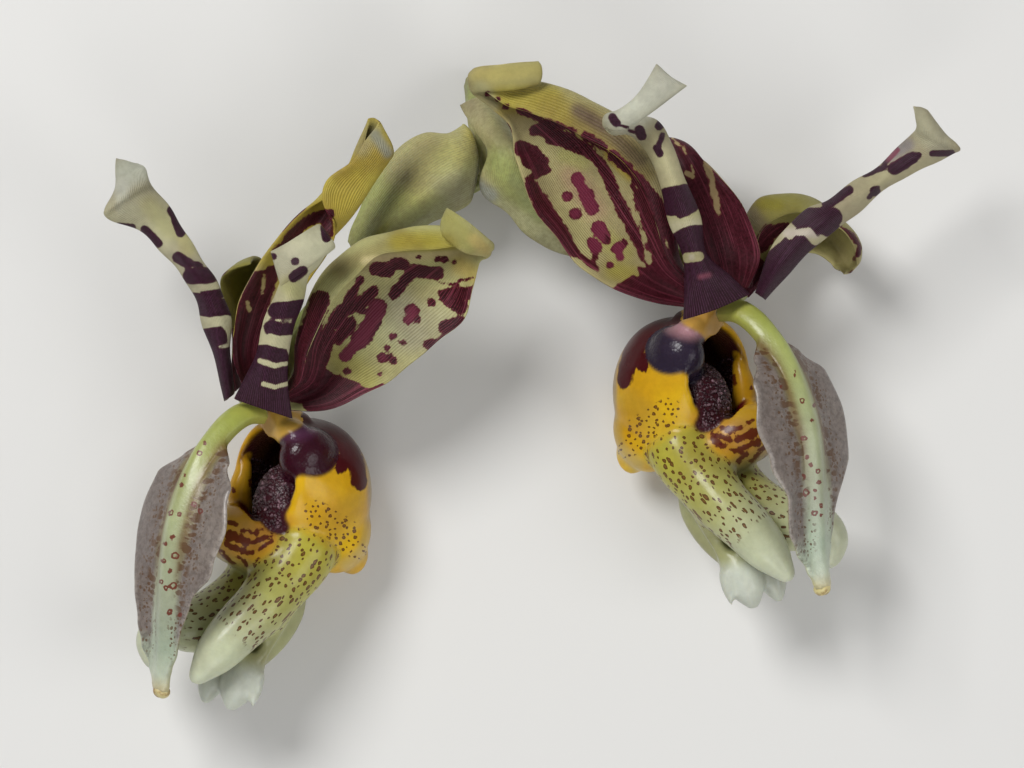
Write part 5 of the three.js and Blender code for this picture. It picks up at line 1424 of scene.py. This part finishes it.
def makeGrainMaterial(given):
    material, tree, shader, place = startMaterial("sacGrain")
    share = ramp(tree, noiseOf(tree, place, 900.0, 2.0), 0.45, 0.75)
    finishMaterial(tree, shader, mixed(tree, share, given["shade"], given["sheen"]),
                   calc(tree, "MULTIPLY_ADD", noiseOf(tree, place, 2500.0), 0.3, 0.15))
    return material


def grainTree(material):
    geometry = "NodeSocketGeometry"
    tree, got, out = newGroup("scatteredGrains", {
        "Geometry": (geometry, None), "Density": (number, 1.0), "Radius": (number, 0.0003),
        "Least": (number, 0.5), "Most": (number, 1.2), "Seed": ("NodeSocketInt", 1)},
        {"Geometry": geometry}, "GeometryNodeTree")
    scattered = addNode(tree, "GeometryNodeDistributePointsOnFaces", {
        "Mesh": got["Geometry"], "Density": got["Density"], "Seed": got["Seed"]},
        distribute_method="RANDOM").outputs
    grain = addNode(tree, "GeometryNodeMeshIcoSphere", {"Radius": got["Radius"], "Subdivisions": 1})
    size = addNode(tree, "FunctionNodeRandomValue", {
        2: got["Least"], 3: got["Most"], "Seed": got["Seed"]}, data_type="FLOAT")
    many = addNode(tree, "GeometryNodeInstanceOnPoints", {
        "Points": scattered["Points"], "Instance": grain.outputs["Mesh"],
        "Rotation": scattered["Rotation"], "Scale": size.outputs[1]})
    real = addNode(tree, "GeometryNodeRealizeInstances", {"Geometry": many.outputs[0]})
    smooth = addNode(tree, "GeometryNodeSetShadeSmooth", {0: real.outputs[0]})
    painted = addNode(tree, "GeometryNodeSetMaterial", {
        "Geometry": smooth.outputs[0], "Material": material})
    tree.links.new(painted.outputs[0], out["Geometry"])
    return tree


def grow(piece, tree, values):      # the plain mesh that a node tree makes from a piece
    modifier = piece.modifiers.new("growth", "NODES")
    modifier.node_group = tree
    for item in tree.interface.items_tree:
        if item.name in values:
            modifier[item.identifier] = values[item.name]
    settled(piece)


def makeGrains(name, given, side, turn, material, tree):
    wall = sacRings(lip["inside"], given["wallRings"], given["wallSides"])
    wall = wall[given["wallFrom"]:given["wallTo"]]
    patch, sheet = wall.reshape(-1, 3), gridFaces(*wall.shape[:2])
    low = patch[sheet][:, :, 1].mean(1) < given["below"]
    spread, skin = together([(patch, sheet[low].tolist()), ball(*lip["bulb"])])
    piece = makePiece(name, outOfFlower(spread * [1, 1, turn], side), skin)
    grow(piece, tree, {
        "Density": given["density"] / mm**2, "Radius": given["radius"] * mm,
        "Least": given["least"], "Most": given["most"], "Seed": given["seed"]})
    finishPiece(piece, material, None)


lipPoints, lipFaces = lipBody(lip)
print("lip shaped", len(lipFaces), "faces")
lipMaterial, grainMaterial = makeLipMaterial(lip), makeGrainMaterial(grains)
grainGrowth = grainTree(grainMaterial)

for side, turn in (("left", -1), ("right", 1)):      # the left lip is the mirror image
    points = outOfFlower(lipPoints * [1, 1, turn], side)
    points[:, 2] = np.maximum(points[:, 2], restHeight)
    faces = lipFaces if turn == 1 else [face[::-1] for face in lipFaces]
    fields = lipFields(lipPoints, {**lip, **darkLobe[side]})
    finishPiece(makePiece(f"{side}_lip", points, faces, None, fields), lipMaterial,
                f"{side}_lip")
    makeGrains(f"{side}_sac_grains", grains, side, turn, grainMaterial, grainGrowth)


paper = {"name": "papery", "ribs": 46, "fleck": "#67613a", "vein": "#626034", "roughness": 0.5}
stalk = {"name": "greenStalk", "ribs": 6, "fleck": "#6d7038", "vein": "#7c8446", "roughness": 0.42}
softShader = {"Subsurface Weight": 0.1, "Subsurface Radius": (1.0, 0.5, 0.3),
              "Subsurface Scale": 0.001}


def makeRibbedMaterial(given):
    material, tree, shader, place = startMaterial(given["name"], softShader)
    ribs = useGroup(tree, fineRibs, {
        "UV": uvOf(tree), "Vector": place, "Count": given["ribs"], "Wander": 0.5})
    mottle = ramp(tree, noiseOf(tree, place, 1100.0, 5.0, 0.7), 0.42, 0.62)
    colour = mixed(tree, calc(tree, "MULTIPLY", mottle, 0.24), tintOf(tree, place, 0.4),
                   given["fleck"])
    colour = mixed(tree, calc(tree, "MULTIPLY", ribs["Line"], 0.42), colour, given["vein"])
    crumple = noiseOf(tree, place, 800.0, 5.0, 0.7)
    finishMaterial(tree, shader, colour,
                   calc(tree, "MULTIPLY_ADD", mottle, 0.15, given["roughness"]),
                   calc(tree, "MULTIPLY_ADD", crumple, 1.2, ribs["Height"]), 0.38)
    return material


bractMaterial, stalkMaterial = makeRibbedMaterial(paper), makeRibbedMaterial(stalk)
bractBlade = {
    "along": 110, "across": 100, "halfThickness": 0.4, "margin": 1.0, "thinBase": True,
    "wave": 0.6, "waveSize": 12.0, "stiff": 0, "calm": 0.35, "margins": 4,
}


def makeBract(name, given):
    points, faces, _, uv = rowBlade(given["rows"], bractBlade, given["seed"])
    tint = shaded(seenFromAbove(points), given["tint"], given["patches"])
    finishPiece(makePiece(name, points, faces, uv, {"tint": tint}), bractMaterial, name)


leftBract = {
    "rows": [
        [[-9.4, 49.4, 11], [-8.6, 47.6, 15.4], [-7.6, 45.2, 17.4], [-8, 42.8, 15.6],
         [-8.8, 40.8, 11]],
        [[-9.6, 52.8, 13], [-8.2, 49.8, 19], [-7.2, 45.2, 21.4], [-7.6, 40.8, 19.6],
         [-9.2, 36.4, 15]],
        [[-13.4, 51, 14], [-11.2, 48.4, 24], [-10, 43.6, 28], [-10.4, 38.8, 26], [-12, 34, 18]],
        [[-17.6, 50.6, 13], [-15.6, 46.8, 24], [-14, 41.2, 29], [-14.4, 36.4, 26],
         [-16.4, 32.4, 18]],
        [[-22.8, 46.8, 12], [-20.8, 43.2, 23], [-18.8, 37.6, 28], [-19.2, 33.2, 25],
         [-21.6, 29.6, 18.6]],
        [[-27.6, 41.6, 12], [-26, 38, 21], [-24, 33.6, 25], [-24, 30.4, 23], [-26, 27.2, 19]],
        [[-31.2, 33.6, 12], [-30, 31.6, 18], [-28.4, 29.2, 22], [-28.4, 27.2, 21],
         [-29.6, 25.2, 19]],
        [[-32.6, 28.4, 14], [-32.4, 27.6, 17], [-31.8, 26.6, 19.4], [-31.6, 25.6, 19.8],
         [-31.8, 24.6, 19.4]],
    ],
    "seed": 41, "tint": "#a6a05e",
    "patches": [
        # the first patch is painted light, lifting the shade in the hollow that faces away from the
        # lamp
        (-25.9, 39.8, -20.9, 47.3, 3, "#b8b276"), (-29.4, 29.8, -25.9, 37.3, 5.5, "#969a50"),
        (-15.9, 48.8, -9.9, 47.8, 3.8, "#aaa064"), (-19.9, 42.3, -14.9, 44.8, 4, "#9e9858"),
        (-12.4, 37.8, -5.9, 41.8, 3.5, "#9c9a72"), (-22.4, 32.3, -14.9, 34.8, 2.5, "#9a9c66"),
        (-8.4, 50.3, -5.4, 48.3, 1.3, "#bbad62"), (-4.9, 44.8, -2.9, 41.8, 2, "#8a8c4c"),
    ],
}
makeBract("left_bract", leftBract)

rightBract = {
    "rows": [
        [[-10.2, 56.4, 8.6], [-8.4, 57.4, 11.6], [-6, 58, 12.8], [-3.6, 57.4, 11.6],
         [-1.8, 56.4, 8.6]],
        [[-7.6, 51.2, 17], [-5.8, 52, 20.6], [-3.4, 52.4, 21.6], [-1, 51.8, 19.6], [0.6, 50.6, 14]],
        [[-4.4, 46.4, 22], [-2.4, 46.8, 25], [0, 46.8, 26], [2.4, 46.4, 23], [4, 45.2, 16]],
        [[-5.4, 39.2, 21], [-2, 40.4, 25], [1.6, 41.2, 26], [4.8, 41.2, 23], [6.6, 40.4, 16]],
        [[0, 33.4, 19], [2.4, 35.2, 23], [5.2, 36.2, 24], [7.6, 36.4, 21], [9.2, 35.6, 15]],
        [[6.6, 27.6, 16], [7.6, 29.8, 19], [9.2, 31.2, 20], [10.8, 31.6, 18], [12, 31, 14]],
        [[12, 26, 14], [12.2, 26.8, 15], [12.8, 27.6, 15.6], [13.4, 27.8, 15], [13.8, 27.4, 13.4]],
    ],
    "seed": 42, "tint": "#8c8658",
    "patches": [
        (-8.4, 55.8, -6.4, 50.8, 2.5, "#968a64"), (-9.4, 50.8, -3.4, 41.8, 3, "#a89e72"),
        (-2.9, 44.3, 2.1, 37.8, 3, "#969a58"), (-2.9, 35.8, 9.6, 27.8, 1.8, "#a9a57c"),
        (-7.4, 39.8, -4.4, 37.8, 1.5, "#93958a"), (0.6, 40.8, 5.6, 33.8, 1.5, "#898d58"),
    ],
}
makeBract("right_bract", rightBract)


ovaries = {
    "left": {
        "spine": [
            [-5, 42, 11], [-10, 39.4, 11.7], [-18, 34, 13.6], [-30, 24.6, 16.4], [-41, 12.6, 19],
            [-48.5, -1.4, 20.8],
        ],
        "middle": [-50.5, -2.5, 24.3],
    },
    "right": {
        "spine": [
            [-2.4, 45.6, 11], [3, 44.2, 11.7], [10, 41, 13.4], [23, 33, 16.4], [34.6, 24.6, 19.6],
            [40.5, 19, 20.8],
        ],
        "middle": [42.6, 17.9, 24.3],
    },
    "radius": [1.9, 1.9, 2, 2.2, 2.6, 4.4], "swelling": [4.5, 2.4, 5.4], "ridges": 6, "ridge": 0.16,
    "green": "#8a9450", "pale": "#9da066",
    "tube": (0.08, 110, 60),      # share of its length that rounds off its end, rings, sides
}

rachis = {
    "spine": [[-6.6, 61, 1.1], [-6, 57, 7.1], [-4.8, 50.6, 9.8], [-3.8, 44, 11], [-3, 38, 11]],
    "radius": [3.3, 3.4, 3.7, 4, 2.6], "green": "#8a9054", "pale": "#a39b66", "ridges": 9,
    "ridge": 0.05, "tube": (0.12, 90, 64), "rests": True,
}

# unevenness and pale patches of the stalks; their ribs run round an axis at this height
stalkSkin = {"waveSize": 9.0, "wave": 0.06, "paleSize": 18.0, "palest": (-0.6, 0.9), "axis": 14,
             "ribLength": 40}


def groovedTube(given):      # a tube with long ridges
    rings = tubeRings(given["spine"], given["radius"], 0, *given["tube"])
    angle = np.linspace(0, 2 * math.pi, rings.shape[1], endpoint=False)
    swell = 1 + given["ridge"] * (np.cos(given["ridges"] * angle) - 1) / 2
    middle = rings.mean(1, keepdims=True)
    return closedRings(middle + (rings - middle) * swell[None, :, None])


def stalkPiece(name, slotName, given, *more):
    points, faces = together([groovedTube(given), *more])
    points = points + ripple(points, stalkSkin["waveSize"], 3)[:, None] * stalkSkin["wave"]
    if given.get("rests"):
        points[:, 2] = np.maximum(points[:, 2], restHeight)
    tint = shaded(points[:, :2], given["green"], [])
    pale = step(ripple(points, stalkSkin["paleSize"], 12), *stalkSkin["palest"])
    layOver(tint, pale, given["pale"])
    turn = np.arctan2(points[:, 2] - stalkSkin["axis"], points[:, 0])
    uv = np.stack([points[:, 1] / stalkSkin["ribLength"], turn / 6.3], 1)
    finishPiece(makePiece(name, points, faces, uv, {"tint": tint}), stalkMaterial, name)


for side in ("left", "right"):
    swelling = ball(ovaries[side]["middle"], ovaries["swelling"])
    stalkPiece(f"{side}_ovary", "ovary", {**ovaries, **ovaries[side]}, swelling)
stalkPiece("rachis", "rachis", rachis)


studio = {
    "floor": "#dcdbd8", "floorCloud": "#cdccc8", "floorSize": 3.0, "floorHeight": -0.0001,
    "world": "#e8e9ec", "worldStrength": 0.25,
    "lights": {      # place, size in m, power in W
        "key": ((-0.45, 0.5, 0.85), 0.45, 8.5),
        "fill": ((0.7, -0.2, 0.7), 0.6, 2.6),
        "front": ((0.0, -0.6, 0.6), 0.5, 1.8),
    },
    "camera": {"lens": 200, "sensor_width": 36, "clip_start": 0.1, "clip_end": 10},
}


def makeFloor(given):
    size, height = given["floorSize"], given["floorHeight"]
    corners = [(x * size, y * size, height) for x, y in ((-1, -1), (1, -1), (1, 1), (-1, 1))]
    mesh = bpy.data.meshes.new("floor")
    mesh.from_pydata(corners, [], [(0, 1, 2, 3)])
    material, tree, shader, place = startMaterial("paleFloor")
    cloud = calc(tree, "MULTIPLY", noiseOf(tree, place, 6.0, 2.0), 0.1)
    finishMaterial(tree, shader, mixed(tree, cloud, given["floor"], given["floorCloud"]), 0.8)
    mesh.materials.append(material)
    linked("floor", mesh)


def makeLights(given):
    for name, (place, size, power) in given["lights"].items():
        light = bpy.data.lights.new(name, "AREA")
        light.shape, light.size, light.energy = "DISK", size, power
        made = linked(name, light)
        made.location = place
        made.rotation_euler = (-made.location).to_track_quat("-Z", "Y").to_euler()
    world = bpy.data.worlds.new("softRoom")
    world.use_nodes = True
    background = world.node_tree.nodes["Background"]
    background.inputs["Color"].default_value = (*linear(given["world"]), 1)
    background.inputs["Strength"].default_value = given["worldStrength"]
    bpy.context.scene.world = world


def makeCamera(given):      # as far above the flowers as the photographer's
    camera = linked("camera", bpy.data.cameras.new("camera"))
    for key, value in given["camera"].items():
        setattr(camera.data, key, value)
    camera.location = (bodyShift[0] * mm, bodyShift[1] * mm, lookHeight * mm)
    bpy.context.scene.camera = camera


makeFloor(studio)
makeLights(studio)
makeCamera(studio)
bpy.context.scene.view_settings.view_transform = "Standard"
print("floor, light and camera ready")
